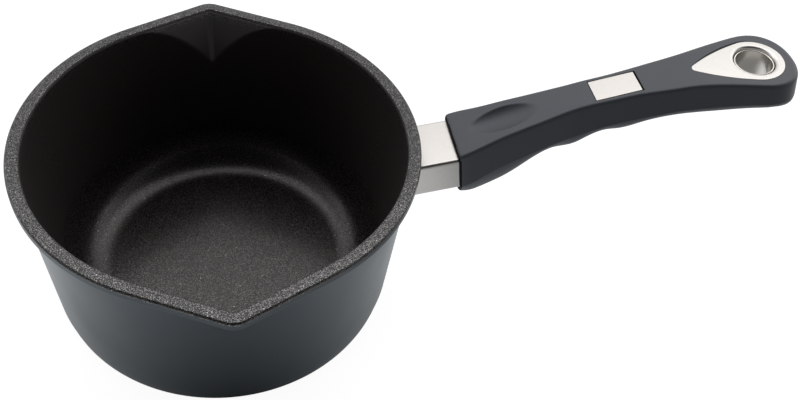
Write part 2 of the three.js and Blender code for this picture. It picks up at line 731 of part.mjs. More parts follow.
function handleCore() {
  const plug = roundedBar(
    LUG_HALF_WIDTH,
    LUG_HALF_HEIGHT,
    LUG_CORNER,
    CORE_BLOCK_START,
    FERRULE_END,
  );
  const channel = slab([
    ferrulePoint(FERRULE_END - 1, CORE_WALL.frontLow),
    ferrulePoint(FERRULE_END, CORE_WALL.frontLow),
    [CORE_REAR, CORE_WALL.rearLow],
    ...CORE_WALL_TOP,
    ferrulePoint(FERRULE_END, CORE_WALL.frontHigh),
    ferrulePoint(FERRULE_END - 1, CORE_WALL.frontHigh),
  ], CORE_HALF_WIDTH);
  const ears = block(EAR.front, EAR.rear, -EAR.halfWidth, EAR.halfWidth, EAR.bottom, EAR.top);
  const slot = slab([
    ferrulePoint(CORE_BLOCK_START - 1, CORE_SLOT.front),
    ferrulePoint(FERRULE_END, CORE_SLOT.front),
    [CORE_REAR + 1, CORE_SLOT.rear],
    [CORE_REAR + 1, CORE_SLOT.openRear],
    ferrulePoint(FERRULE_END, CORE_SLOT.open),
    ferrulePoint(CORE_BLOCK_START - 1, CORE_SLOT.open),
  ], GROOVE_HALF_WIDTH);
  const body = union([solid(sloped(plug, FERRULE_TILT, FERRULE_START)), solid(channel), solid(ears)]);
  return surface(cut(body, [solid(slot), pivotHole(), ...screwHoles()]));
}

// Latch

function pivotCylinder(radius, halfLength) {
  const geometry = new THREE.CylinderGeometry(radius, radius, 2 * halfLength, 24);
  return solid(geometry.translate(PIVOT.x, 0, PIVOT.z));
}

function pivotHole() {
  return pivotCylinder(PIVOT_PIN_RADIUS + PIVOT_RUNNING_CLEARANCE, 2 * CORE_HALF_WIDTH);
}

// The lever is one strip of even thickness, with the hook under its front end
function latchLever() {
  const half = LEVER_THICKNESS / 2;
  const low = LEVER_HEIGHT - half;
  const high = LEVER_HEIGHT + half;
  const across = CARRIER_BOTTOM - GAP - half;
  const rearStart = slopedPoint(LEVER_REAR.start, across, BUTTON_SLOPE, BUTTON_CENTRE);
  const rearEnd = slopedPoint(LEVER_REAR.end, across, BUTTON_SLOPE, BUTTON_CENTRE);
  const strip = slab([
    ferrulePoint(HOOK.tip, low),
    ferrulePoint(HOOK.ramp, low),
    ferrulePoint(HOOK.toe, low - HOOK.depth),
    ferrulePoint(HOOK.heel, low - HOOK.depth),
    ferrulePoint(HOOK.heel, low),
    ferrulePoint(FERRULE_END, low),
    [PIVOT.x + LEVER_BEND_SHIFT, PIVOT.z - half],
    [rearStart[0] + LEVER_BEND_SHIFT, rearStart[1] - half],
    [rearEnd[0], rearEnd[1] - half],
    [rearEnd[0], rearEnd[1] + half],
    [rearStart[0], rearStart[1] + half],
    [PIVOT.x - LEVER_BEND_SHIFT, PIVOT.z + half],
    ferrulePoint(FERRULE_END, high),
    ferrulePoint(HOOK.tip, high),
  ], LEVER_HALF_WIDTH);
  const boss = pivotCylinder(PIVOT_BOSS_RADIUS, LEVER_HALF_WIDTH);
  return surface(cut(union([solid(strip), boss]), [pivotHole()]));
}

function buttonPiece(halfLength, halfWidth, corner, bottom, top) {
  const middle = (bottom + top) / 2;
  const bar = roundedBar(halfWidth, (top - bottom) / 2, corner, -halfLength, halfLength);
  return weld(sloped(bar.translate(0, 0, middle), BUTTON_SLOPE, BUTTON_CENTRE));
}

function buttonCarrier() {
  const halfLength = BUTTON_HALF_LENGTH - CARRIER_INSET;
  const halfWidth = BUTTON_HALF_WIDTH - CARRIER_INSET;
  const top = -BUTTON_SHEET - GAP;
  return buttonPiece(halfLength, halfWidth, CARRIER_CORNER, CARRIER_BOTTOM, top);
}

function releaseButton() {
  const bottom = -BUTTON_SHEET;
  return buttonPiece(BUTTON_HALF_LENGTH, BUTTON_HALF_WIDTH, BUTTON_CORNER, bottom, 0);
}

class SpringPath extends THREE.Curve {
  getPoint(t, target = new THREE.Vector3()) {
    const angle = t * SPRING.turns * Math.PI * 2;
    const z = THREE.MathUtils.lerp(SPRING.bottom + SPRING.wire, SPRING.top - SPRING.wire, t);
    return target.set(SPRING.x + SPRING.radius * Math.cos(angle), SPRING.radius * Math.sin(angle), z);
  }
}

function returnSpring() {
  const shape = new THREE.Shape();
  shape.absarc(0, 0, SPRING.wire, 0, Math.PI * 2);
  const options = { steps: SPRING.turns * 12, curveSegments: 3, extrudePath: new SpringPath() };
  return weld(new THREE.ExtrudeGeometry(shape, options));
}

// Hanging eye

function hangingPlate() {
  const sheet = dropPlate(0, -PLATE_SHEET, 0);
  const rounding = COLLAR_ROUNDING;
  const inner = rounding - COLLAR_SHEET;
  const foot = -rounding - COLLAR_LAP;
  const collar = eyeTool([
    ...arcPoints(COLLAR_RADIUS, -rounding, rounding, Math.PI / 2, Math.PI, 4),
    [COLLAR_RADIUS - rounding, foot],
    [COLLAR_RADIUS - inner, foot],
    ...arcPoints(COLLAR_RADIUS, -rounding, inner, Math.PI, Math.PI / 2, 3),
    [COLLAR_RADIUS + COLLAR_LAP, -COLLAR_SHEET],
    [COLLAR_RADIUS + COLLAR_LAP, 0],
    [COLLAR_RADIUS, 0],
  ]);
  const bore = eyeBore(COLLAR_RADIUS + COLLAR_LAP / 2, -PLATE_SHEET - OVERRUN, OVERRUN);
  return surface(union([cut(sheet, [bore]), collar]));
}

function hangingEyelet() {
  const lowFlange = EYELET.bottom + EYELET.flangeSheet;
  return surface(eyeTool([
    [EYELET.inner, EYELET.bottom],
    [EYELET.flange, EYELET.bottom],
    [EYELET.flange, lowFlange],
    [EYELET.outer, lowFlange],
    [EYELET.outer, EYELET.top],
    [EYELET.inner, EYELET.top],
    [EYELET.inner, EYELET.bottom],
  ]));
}

// Screws point up, with a cross recess in the head

function screw({ x, y, seat, end }) {
  const face = seat - SCREW_HEAD_HEIGHT;
  const body = solid(turned([
    [0, face],
    [SCREW_HEAD_RADIUS * SCREW_DOME.radius, face],
    [SCREW_HEAD_RADIUS, seat - SCREW_HEAD_HEIGHT * SCREW_DOME.height],
    [SCREW_HEAD_RADIUS, seat],
    [SCREW_SHANK_RADIUS, seat],
    [SCREW_SHANK_RADIUS, end - SCREW_POINT],
    [0, end],
  ], 20).translate(x, y, 0));
  const { reach, halfWidth, depth } = SCREW_RECESS;
  const recess = [[reach, halfWidth], [halfWidth, reach]].map(([along, aside]) => {
    return solid(block(x - along, x + along, y - aside, y + aside, face - OVERRUN, face + depth));
  });
  return surface(cut(body, recess));
}

// Assembly

const saucepan = new THREE.Group();
saucepan.name = 'saucepan';

const fixed = new THREE.Group();
const latch = new THREE.Group();
saucepan.add(fixed, latch);

function place(group, name, geometry, finish) {
  geometry.computeVertexNormals();
  const mesh = new THREE.Mesh(geometry, new THREE.MeshStandardMaterial(FINISH[finish]));
  mesh.name = name;
  group.add(mesh);
}

const blank = handleBlank();
place(fixed, 'pan_body', panBody(), 'coating');
place(fixed, 'ferrule', ferrule(), 'steel');
place(fixed, 'handle_core', handleCore(), 'zinc');
place(fixed, 'handle_upper_shell', upperShell(blank), 'plastic');
place(fixed, 'handle_lower_shell', lowerShell(blank), 'plastic');
place(fixed, 'hanging_plate', hangingPlate(), 'steel');
place(fixed, 'hanging_eyelet', hangingEyelet(), 'steel');
place(fixed, 'latch_pivot_pin', surface(pivotCylinder(PIVOT_PIN_RADIUS, CORE_HALF_WIDTH + GAP)), 'steel');
place(fixed, 'return_spring', returnSpring(), 'steel');
for (const each of SCREWS) place(fixed, each.name, screw(each), 'steel');

place(latch, 'latch_lever', latchLever(), 'steel');
place(latch, 'button_carrier', buttonCarrier(), 'plastic');
place(latch, 'release_button', releaseButton(), 'steel');

export default saucepan;
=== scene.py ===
"""Looks of a cast saucepan with two pouring lips and a detachable handle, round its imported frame.

Lengths in this file are millimetres, as in the construction; make_object turns them into metres.
"""

import math

import bmesh
import bpy
import numpy as np
from mathutils import Matrix, Vector

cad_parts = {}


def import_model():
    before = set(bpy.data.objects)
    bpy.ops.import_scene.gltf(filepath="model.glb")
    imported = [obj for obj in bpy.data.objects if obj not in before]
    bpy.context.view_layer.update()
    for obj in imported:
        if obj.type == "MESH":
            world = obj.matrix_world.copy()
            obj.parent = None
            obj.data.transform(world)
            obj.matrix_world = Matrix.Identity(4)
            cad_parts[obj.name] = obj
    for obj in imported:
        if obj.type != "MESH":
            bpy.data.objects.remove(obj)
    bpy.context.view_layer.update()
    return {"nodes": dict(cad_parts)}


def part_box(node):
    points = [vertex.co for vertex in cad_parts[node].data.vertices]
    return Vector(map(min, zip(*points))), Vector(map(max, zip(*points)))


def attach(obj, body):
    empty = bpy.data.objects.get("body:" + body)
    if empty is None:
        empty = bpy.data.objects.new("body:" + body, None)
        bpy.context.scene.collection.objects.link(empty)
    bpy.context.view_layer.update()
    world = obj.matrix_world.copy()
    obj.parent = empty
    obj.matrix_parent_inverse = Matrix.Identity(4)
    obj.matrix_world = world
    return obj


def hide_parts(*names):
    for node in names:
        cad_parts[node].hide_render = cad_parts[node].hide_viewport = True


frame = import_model()

MM = 0.001


def box_mm(node):
    """Lowest and highest corner of a node of the construction, in millimetres."""
    low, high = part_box(node)
    return low / MM, high / MM


pan_low, pan_high = box_mm("pan_body")

# Pan
PAN_HEIGHT = pan_high.z
RIM_RADIUS = -pan_low.x
RIM_WIDTH = 6.0
RIM_INNER = RIM_RADIUS - RIM_WIDTH
RIM_INNER_ROUNDING = 1.0
RIM_OUTER_ROUNDING = 1.2
COATED_EDGE = 1.15
COATED_INTO_WALL = 1.4
COATED_BELOW_FLOOR = 0.5
BAND_HEIGHT = 4.2
BAND_BOTTOM = PAN_HEIGHT - BAND_HEIGHT
BAND_FILLET = 1.2
BAND_EDGE_ROUNDING = 0.7
GROOVES_BELOW_RIM = (2.9, 2.2, 1.4)
GROOVE_DEPTH = 0.05
GROOVE_SECTION = ((-0.16, 0.0), (-0.06, 1.0), (0.06, 1.0), (0.16, 0.0))
WALL_TOP = 86.7
WALL_BASE = 80.9
BASE_ROUNDING = 9.9
FLOOR = 5.0
INNER_BASE = 77.4
FLOOR_FILLET = 21.5
WALL_LEAN = 0.07
INNER_LEAN = 0.1
INNER_TOP = PAN_HEIGHT - RIM_INNER_ROUNDING
INNER_FOOT = FLOOR + FLOOR_FILLET * (1 - math.sin(INNER_LEAN))
INNER_FOOT_RADIUS = INNER_BASE - FLOOR_FILLET * (1 - math.cos(INNER_LEAN))
MIDDLE_RING = 30.0
FLAT_MARGIN = 6.0
OUTER_ROWS = (14, 24, 34, 44, 54)
INNER_ROWS = (56, 46, 36, 28)
ROW_STEP = 0.6
DIRECTION_STEP = math.radians(0.3)
PLAIN_DIRECTIONS = 124

# Pouring lips: the corner of the rim is rounded about a centre on the lip's own axis
LIP_TIP = pan_high.y
LIP_ROUNDING = 9.7
LIP_CENTRE = LIP_TIP - LIP_ROUNDING
LIP_ANGLE = math.acos((RIM_RADIUS - LIP_ROUNDING) / LIP_CENTRE)
LIP_DEPTH = 25.7
LIP_FOOT = PAN_HEIGHT - LIP_DEPTH
LIP_FACE_FALL = 0.6
LIP_CREASE_FADE = 8.0
LIP_CREASE_OUTSIDE = 2.5
LIP_CREASE_INSIDE = 0.5
LIP_FOOT_ROUNDING_OUTSIDE = 22.0
LIP_FOOT_ROUNDING_INSIDE = 3.0
LIP_ZONE = math.radians(28)

# Ferrule, and the lug inside it; their boxes are (from x, to x, half width, from z, to z)
FERRULE_TILT = 0.173
FERRULE_START = (86.0, 68.2)
FERRULE_HALF_WIDTH = 14.35
FERRULE_HALF_HEIGHT = 9.5
FERRULE_SHEET = 1.2
FERRULE_CORNER = 1.8
FERRULE_ROOT = -4.0
FERRULE_END = 27.0
FERRULE_OFF_WALL = 0.15
FERRULE_WALL_FROM = 20.0
LUG_ROOT = -2.0
LUG_END = 20.0
LUG_CORNER = 1.0
LUG_CLEARANCE = 0.4
LUG_GROOVE = (5, 24, 4.2, 2, 12)
LUG_NOTCH = (11, 15, 4.2, -0.2, 12)
LUG_INTO_WALL = 1.2
LUG_WALL_HEIGHTS = (40.0, 88.0)
GAP = 0.3
OVERCUT = 2.0

# Handle outline from above, then its heights along X
HANDLE_FRONT = 23.95
FRONT_DRAW_TOP = 1.6
FRONT_DRAW_SIDE = 0.85
FRONT_REACH = 1.6
FRONT_LEAN_FROM = 4.0
FRONT_LEAN_OVER = 22.0
# How far back from the front the painted shade round the ferrule reaches, on the top and on the
# sides
PAINTED_SHADE_TOP = 0.5
PAINTED_SHADE_SIDE = 1.25
POCKET_ROOM = 0.15
POCKET_FLARE = (1.8, 0.5)
POCKET_MOUTH = (3.0, 0.9)
WIDTH_AT = (
    (104, 15.45), (109, 15.4), (114, 15.25), (120, 14.35), (126, 13.1), (132, 12.2),
    (144, 10.95), (156, 9.75), (163, 9.25), (168, 9.25), (180, 9.45), (192, 9.95),
    (204, 11.15), (216, 12.35), (228, 14.65), (240, 17.35), (246.7, 18.85),
)
END_CENTRE = 251.7
END_LENGTH = 16.85
END_HALF_WIDTH = 19.3
END_POWER = 0.91
END_START_ANGLE = -0.23
END_LEAN = 0.33
END_LEAN_FROM = 222.0
END_LEAN_TO = 246.0
TOP_AT = (
    (104, 83.0), (109, 85.2), (120, 89.6), (132, 94.5), (144, 98.8), (156, 103.2),
    (168, 107.1), (180, 110.0), (192, 113.1), (204, 115.7), (216, 118.4), (219, 119.0),
    (265, 123.8), (275, 124.9),
)
EDGE_AT = (
    (104, 62.4), (113, 66.1), (125, 71.3), (137, 76.8), (150, 82.2), (160, 86.2),
    (172, 91.2), (185, 95.6), (195, 98.6), (213, 103.5), (227, 106.8), (240, 109.5),
    (254, 111.3), (275, 112.6),
)
BASE_AT = (
    (104, 58.6), (112, 57.3), (120, 56.9), (128, 59.2), (137, 64.1), (146, 71.7),
    (155, 78.0), (162, 79.2), (168, 80.8), (174, 85.0), (181, 88.3), (188, 89.0),
    (194, 90.8), (200, 93.5), (215, 97.7), (233, 101.2), (251, 104.6), (275, 107.0),
)
FRONT_STATIONS = 7
NEAR_FRONT = (0.6, 34.0, 0.8)
GRIP_START = 1.2
GRIP_STATIONS = 84
END_STATIONS = 44
TOP_COLUMNS = 30
SIDE_STEPS = 5
BASE_COLUMNS = 8
TOP_EDGE_ROUNDING = 2.0
BEVEL_SHARE = 0.28
BEVEL_MOST = 3.9
BEVEL_KNEE_INSET = 0.4
BEVEL_KNEE_DROP = 0.55
END_BEVEL_SHARE = 0.46
END_KNEE_INSET = 0.28
END_KNEE_DROP = 0.94
BASE_EDGE_WIDTH = 1.8
BASE_EDGE_HEIGHT = 0.8
BASE_EDGE_SHARES = (0.0, 0.2, 0.4, 0.6, 0.8, 1.0)
PARTING_GAP = 0.04
PARTING_EDGE_UPPER = 0.08
PARTING_EDGE_LOWER = 0.07
PARTING_EDGE_BREAK = 0.3

# Thumb hollow: part of an ellipsoid that leans with the top face
THUMB_CENTRE = (130.6, 97.7)
THUMB_SLOPE = 0.39
THUMB_SIZE = (21.0, 9.0, 6.0)
THUMB_EDGE = 0.2

# Hollows inside the handle
CAVITY_HALF_WIDTH = 6.3
CAVITY_FRONT_HALF_WIDTH = 5.7
CAVITY_CEILING = ((110, 81.5), (120, 84), (145, 93.5), (160, 99), (170, 103.5), (197, 108.5))
CAVITY_STEP = (126, 86.3)
CAVITY_BELOW = 60.0
CAVITY_ABOVE = 150.0
CAVITY_REAR = 197.0
LOWER_FLOOR = 2.4
LOWER_CAVITY_HALF_WIDTH = 5.9
LOWER_CAVITY_FRONT = 127.0
EAR_POCKET = (113.2, 123.0, 10.8, CAVITY_BELOW, 73.9)

# Release button
BUTTON_SLOPE = 0.246
BUTTON_CENTRE = (182.3, 110.65)
BUTTON_HALF_LENGTH = 10.95
BUTTON_HALF_WIDTH = 6.45
BUTTON_SHEET = 1.2
BUTTON_REAR_GAP = 0.85
BUTTON_SIDE_GAP = 0.2
BUTTON_CORNER = 0.35
BUTTON_EDGE = 0.2
SLOT_DEPTH = 12.0
RECESS_DEPTH = 1.3
SURFACE_FLARE = 0.18
SURFACE_MARGIN = 0.35
SURFACE_ABOVE = 4.0

# Hanging eye
EYE_SLOPE = math.atan((123.8 - 119.0) / (265 - 219))
EYE_CENTRE = (249.7, 122.4)
PLATE_END_RADIUS = 13.75
PLATE_TIP_REACH = 29.0
PLATE_TIP_RADIUS = 2.35
PLATE_BULGE = (18.0, 9.7)
PLATE_FLANK = (0.55, 1.35)
PLATE_SHEET = 1.0
PLATE_EDGE = 0.25
PLATE_SEAM = 0.12
COLLAR_RADIUS = 11.1
COLLAR_ROUNDING = 1.5
COLLAR_SHEET = 0.9
COLLAR_LAP = 0.4
COLLAR_FLAT = 1.0
EYELET_OUTER = 9.3
EYELET_INNER = 8.5
EYELET_TOP = -1.1
EYELET_MIDDLE = -8.0
EYELET_BOTTOM = -17.3
EYELET_FOOT_ROUNDING = 0.6
EYELET_FLANGE = 11.4
EYELET_FLANGE_SHEET = 0.8
EYELET_FLANGE_EDGE = 0.2
EYELET_ROOM = 0.15
EYE_BELOW = -40.0
EYE_ABOVE = 3.0

# Screws
SCREW_NODES = ["shell_screw_" + at for at in ("front_left", "front_right", "middle", "rear")]
SCREW_HEAD_RADIUS = 2.5
SCREW_HEAD_HEIGHT = 1.8
SCREW_SHANK_RADIUS = 1.3
SCREW_ROOM = 0.2
SCREW_SEAT_ROOM = 0.1
SCREW_HOLE_BELOW = 40.0
SCREW_HOLE_ABOVE = 1.0

SHARP_ANGLE = math.radians(32)
ROUND_SEGMENTS = 128
SCREW_SEGMENTS = 48


# Curves and small maths


def spline(points):
    """A natural cubic spline through (x, value) points, as a function of an array."""
    x, y = np.array(points, float).T
    step = np.diff(x)
    slope = np.diff(y) / step
    count = len(x)
    matrix = np.eye(count)
    right = np.zeros(count)
    for i in range(1, count - 1):
        matrix[i, i - 1] = step[i - 1]
        matrix[i, i] = 2 * (step[i - 1] + step[i])
        matrix[i, i + 1] = step[i]
        right[i] = 6 * (slope[i] - slope[i - 1])
    bend = np.linalg.solve(matrix, right)

    def evaluate(at):
        at = np.clip(np.asarray(at, float), x[0], x[-1])
        i = np.clip(np.searchsorted(x, at) - 1, 0, count - 2)
        h = step[i]
        a = (x[i + 1] - at) / h
        b = (at - x[i]) / h
        curve = ((a**3 - a) * bend[i] + (b**3 - b) * bend[i + 1]) * h * h / 6
        return a * y[i] + b * y[i + 1] + curve

    return evaluate


width_at = spline(WIDTH_AT)
top_at = spline(TOP_AT)
edge_at = spline(EDGE_AT)
base_at = spline(BASE_AT)


def smooth_max(a, b, reach):
    """The larger of two arrays, with a fillet where they are within reach of each other."""
    near = np.clip(reach - np.abs(a - b), 0, None)
    return np.maximum(a, b) + near * near / (4 * np.maximum(reach, 1e-9))


def smooth_min(a, b, reach):
    return -smooth_max(-a, -b, reach)


def arc(centre, radius, start, end, steps):
    """Points on a circular arc, as (first, second) coordinates."""
    angles = np.linspace(start, end, steps + 1)
    return [(centre[0] + radius * math.cos(a), centre[1] + radius * math.sin(a)) for a in angles]


def slope_matrix(slope, origin):
    """Places a shape made along X on an axis that rises towards +X from origin, an (x, z) pair."""
    turn = Matrix.Rotation(-slope, 4, "Y")
    return Matrix.Translation(Vector((origin[0], 0, origin[1]))) @ turn


FERRULE_FRAME = slope_matrix(FERRULE_TILT, FERRULE_START)
BUTTON_FRAME = slope_matrix(BUTTON_SLOPE, BUTTON_CENTRE)
EYE_FRAME = slope_matrix(EYE_SLOPE, EYE_CENTRE)


# Meshes


def loft(rings, looped=False):
    """Vertices and quads between rings of equal length, each of which closes on itself. The ends
    are capped, or where looped, the last ring joins the first."""
    size, count = len(rings[0]), len(rings)
    vertices = [tuple(point) for ring in rings for point in ring]
    faces = []
    for i in range(count if looped else count - 1):
        near, far = i * size, (i + 1) % count * size
        for k in range(size):
            n = (k + 1) % size
            faces.append((near + k, near + n, far + n, far + k))
    if not looped:
        faces.append(tuple(range(size - 1, -1, -1)))
        faces.append(tuple(range((count - 1) * size, count * size)))
    return vertices, faces


def make_object(name, parts, matrix=None):
    """An object in metres from (vertices, faces) in millimetres."""
    vertices, faces = parts
    mesh = bpy.data.meshes.new(name)
    mesh.from_pydata(vertices, [], faces)
    scale = Matrix.Scale(MM, 4)
    mesh.transform(scale @ matrix if matrix else scale)
    work = bmesh.new()
    work.from_mesh(mesh)
    bmesh.ops.remove_doubles(work, verts=work.verts, dist=1e-7)
    bmesh.ops.dissolve_degenerate(work, edges=work.edges, dist=1e-7)
    bmesh.ops.recalc_face_normals(work, faces=work.faces)
    if work.calc_volume(signed=True) < 0:
        bmesh.ops.reverse_faces(work, faces=work.faces)
    work.to_mesh(mesh)
    work.free()
    obj = bpy.data.objects.new(name, mesh)
    bpy.context.scene.collection.objects.link(obj)
    return obj


def combine(obj, tools, operation):
    """Applies a boolean with each tool to obj, and removes the tools."""
    for tool in tools:
        modifier = obj.modifiers.new("boolean", "BOOLEAN")
        modifier.operation = operation
        modifier.solver = "MANIFOLD"
        modifier.object = tool
        bpy.context.view_layer.update()
        graph = bpy.context.evaluated_depsgraph_get()
        mesh = bpy.data.meshes.new_from_object(obj.evaluated_get(graph))
        obj.modifiers.clear()
        obj.data = mesh
        bpy.data.objects.remove(tool)


def cut(obj, *tools):
    combine(obj, tools, "DIFFERENCE")


def finish_piece(obj, materials, replaced, body="saucepan"):
    """Smooth shading with sharp edges kept, materials, and the piece's place in the frame."""
    obj.data.materials.clear()
    for material in materials:
        obj.data.materials.append(material)
    obj.data.polygons.foreach_set("use_smooth", [True] * len(obj.data.polygons))
    obj.data.set_sharp_from_angle(angle=SHARP_ANGLE)
    modifier = obj.modifiers.new("normals", "WEIGHTED_NORMAL")
    modifier.keep_sharp = True
    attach(obj, body)
    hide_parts(replaced)


def rounded_rectangle(half_a, half_b, corner, steps=8):
    """Points round a rectangle with round corners, as (a, b) pairs."""
    points = []
    for quarter, (sa, sb) in enumerate(((1, 1), (-1, 1), (-1, -1), (1, -1))):
        centre = (sa * (half_a - corner), sb * (half_b - corner))
        start = quarter * math.pi / 2
        points += arc(centre, corner, start, start + math.pi / 2, steps)
    return points


def stacked(outline, levels):
    """Level rings, from an outline that is a function of how far it grows."""
    return [[(a, b, z) for a, b in outline(grow)] for z, grow in levels]


def plate_rings(outline, sheet, edge):
    """Rings of a flat plate with broken edges, from its underside to its upper face at 0."""
    levels = [(-sheet, -edge), (-sheet + edge, 0.0)]
    for turn in np.linspace(0, math.pi / 2, 5):
        levels.append((edge * (math.sin(turn) - 1), edge * (math.cos(turn) - 1)))
    return stacked(outline, levels)


def bar(half_width, half_height, corner, start, end):
    """A bar along X with round corners."""
    outline = rounded_rectangle(half_width, half_height, corner)
    return loft([[(x, a, b) for a, b in outline] for x in (start, end)])


def slab(points, half_width):
    """A side view outline of (x, z) points made thick along Y."""
    rings = [[(x, y, z) for x, z in points] for y in (-half_width, half_width)]
    return loft(rings)


def box(x0, x1, half_width, z0, z1):
    """A box from x0 to x1 and from z0 to z1."""
    return slab(((x0, z0), (x1, z0), (x1, z1), (x0, z1)), half_width)


def turned(profile):
    """A closed profile of (radius, z) points turned about Z; no point lies on the axis."""
    rings = []
    for angle in np.linspace(0, 2 * math.pi, ROUND_SEGMENTS, endpoint=False):
        rings.append([(r * math.cos(angle), r * math.sin(angle), z) for r, z in profile])
    return loft(rings, looped=True)


def level_ring(radius, z, angles):
    """Points of a level circle about Z, in the given directions."""
    return [(radius * math.cos(a), radius * math.sin(a), z) for a in angles]


def circle(radius, z, segments=ROUND_SEGMENTS):
    return level_ring(radius, z, np.linspace(0, 2 * math.pi, segments, endpoint=False))


def disc(radius, low, high, segments=ROUND_SEGMENTS):
    """An upright cylinder."""
    return loft([circle(radius, z, segments) for z in (low, high)])


# Materials


def node(tree, kind, inputs=None, **settings):
    """Adds a shader node, whose inputs are values or other nodes' output sockets."""
    made = tree.nodes.new("ShaderNode" + kind)
    for key, value in settings.items():
        setattr(made, key, value)
    for key, value in (inputs or {}).items():
        if isinstance(value, bpy.types.NodeSocket):
            tree.links.new(value, made.inputs[key])
        else:
            made.inputs[key].default_value = value
    return made


def new_material(name, **settings):
    """A material whose only shader is one principled shader, with its tree and coordinates."""
    material = bpy.data.materials.new(name)
    material.use_nodes = True
    tree = material.node_tree
    shader = tree.nodes["Principled BSDF"]
    for key, value in settings.items():
        shader.inputs[key.replace("_", " ")].default_value = value
    place = node(tree, "TexCoord").outputs["Object"]
    return material, tree, shader, place


def drive(tree, shader, **outputs):
    """Links each output to the shader's input of that name."""
    for key, output in outputs.items():
        tree.links.new(output, shader.inputs[key.replace("_", " ")])


def noise(tree, place, scale, detail, stretch=(1, 1, 1)):
    """Noise with features of about 1 / scale metres, stretched along an axis by a small factor."""
    mapped = node(tree, "Mapping", {"Vector": place, "Scale": stretch})
    made = node(
        tree,
        "TexNoise",
        {"Vector": mapped.outputs["Vector"], "Scale": scale, "Detail": detail},
    )
    return made.outputs["Fac"]


def remap(tree, value, low, high, to_low=0.0, to_high=1.0, **settings):
    """Takes values from low to high on to the range from to_low to to_high, and clamps them."""
    made = node(
        tree,
        "MapRange",
        {"Value": value, "From Min": low, "From Max": high, "To Min": to_low, "To Max": to_high},
        **settings,
    )
    return made.outputs["Result"]


def math_node(tree, operation, first, second):
    made = node(tree, "Math", {0: first, 1: second}, operation=operation)
    return made.outputs["Value"]


def multiply(tree, first, second):
    return math_node(tree, "MULTIPLY", first, second)


def blend_colour(tree, share, first, second):
    """Mixes two colours, each of which is three numbers or another node's output."""
    ends = {"A": first, "B": second}
    for key, end in ends.items():
        if not isinstance(end, bpy.types.NodeSocket):
            ends[key] = (*end, 1)
    made = node(tree, "Mix", {"Factor": share, **ends}, data_type="RGBA")
    return made.outputs["Result"]


def bump(tree, height, distance, strength):
    """Bump from a height between 0 and 1, which stands for so many metres."""
    made = node(
        tree, "Bump", {"Height": height, "Distance": distance, "Strength": strength}
    )
    return made.outputs["Normal"]


# Heights on the pan in metres, between which the coating changes, and the painted sheen along the
# rim's edges rises and falls
RIM_ZONE = (0.087, 0.0912)
WALL_ZONE = (0.022, 0.032)
PAINTED_SHEEN_RISE = (0.0904, 0.0909)
PAINTED_SHEEN_FALL = (0.0914, 0.0919)

# The coating's grain and bright dots; the scales are features per metre
GRAIN_SCALE = 2900
GRAIN_RANGE = (0.515, 0.63, 0.0, 0.64)
WALL_GRAIN_RANGE = (0.3, 0.7, 0.13, 0.22)
DOT_SCALE = 520
DOT_RADII = (0.08, 0.2)
DOT_CHANCE = (0.72, 0.94)
# Painted light and shade: more dots on the rim's top, and the flakes inside the pan cut to a share,
# so the rim shows lighter than the inside
RIM_DOTS_PAINTED_LIGHT = 0.25
DOTS_FEWER_ON_WALL = 0.4
INSIDE_FLAKES_PAINTED_SHADE = 0.6
FLAKE_METALLIC = 0.95


def coating_material():
    """Non-stick coating: near black, with fine metallic flakes. Fewer flakes inside the pan and
    more dots on the rim's top are painted light and shade, so the rim shows lighter and the inside
    darker. A paler band along the rim's rounded edges is a painted sheen."""
    material, tree, shader, place = new_material("coating", Specular_IOR_Level=0.35)
    height = node(tree, "SeparateXYZ", {"Vector": place}).outputs["Z"]
    on_rim = remap(tree, height, *RIM_ZONE)
    on_wall = remap(tree, height, *WALL_ZONE)
    on_wall = math_node(tree, "SUBTRACT", on_wall, on_rim)
    grain = noise(tree, place, GRAIN_SCALE, 1.0)
    flakes = remap(tree, grain, *GRAIN_RANGE)
    even = remap(tree, grain, *WALL_GRAIN_RANGE)
    flakes = node(tree, "Mix", {"Factor": on_wall, "A": flakes, "B": even})
    # Painted shade: the flakes inside the pan are weakened, so the inside shows darker than the rim
    flakes = multiply(
        tree, flakes.outputs["Result"], remap(tree, on_rim, 0.0, 1.0, INSIDE_FLAKES_PAINTED_SHADE, 1.0)
    )
    cells = node(tree, "TexVoronoi", {"Vector": place, "Scale": DOT_SCALE}).outputs
    dots = remap(tree, cells["Distance"], *DOT_RADII, 1.0, 0.0)
    chance = node(tree, "SeparateColor", {"Color": cells["Color"]}).outputs["Red"]
    # Painted light: more bright dots on the rim's top
    chance = math_node(tree, "ADD", chance, multiply(tree, on_rim, RIM_DOTS_PAINTED_LIGHT))
    chance = math_node(tree, "SUBTRACT", chance, multiply(tree, on_wall, DOTS_FEWER_ON_WALL))
    dots = multiply(tree, dots, remap(tree, chance, *DOT_CHANCE))
    shine = math_node(tree, "MAXIMUM", flakes, dots)
    # Painted sheen: a paler ground colour in a band on the rim's rounded edges, standing in for the
    # light they catch
    painted_sheen = multiply(
        tree,
        remap(tree, height, *PAINTED_SHEEN_RISE),
        remap(tree, height, *PAINTED_SHEEN_FALL, 1.0, 0.0),
    )
    ground = blend_colour(tree, painted_sheen, (0.003, 0.0032, 0.0036), (0.14, 0.13, 0.125))
    flake_colour = blend_colour(tree, on_rim, (0.385, 0.34, 0.315), (0.36, 0.345, 0.34))
    drive(
        tree,
        shader,
        Base_Color=blend_colour(tree, shine, ground, flake_colour),
        Metallic=multiply(tree, shine, FLAKE_METALLIC),
        Roughness=remap(tree, shine, 0.0, 1.0, 0.26, 0.22),
        Normal=bump(tree, noise(tree, place, 700, 2.0), 0.00001, 0.3),
    )
    return material


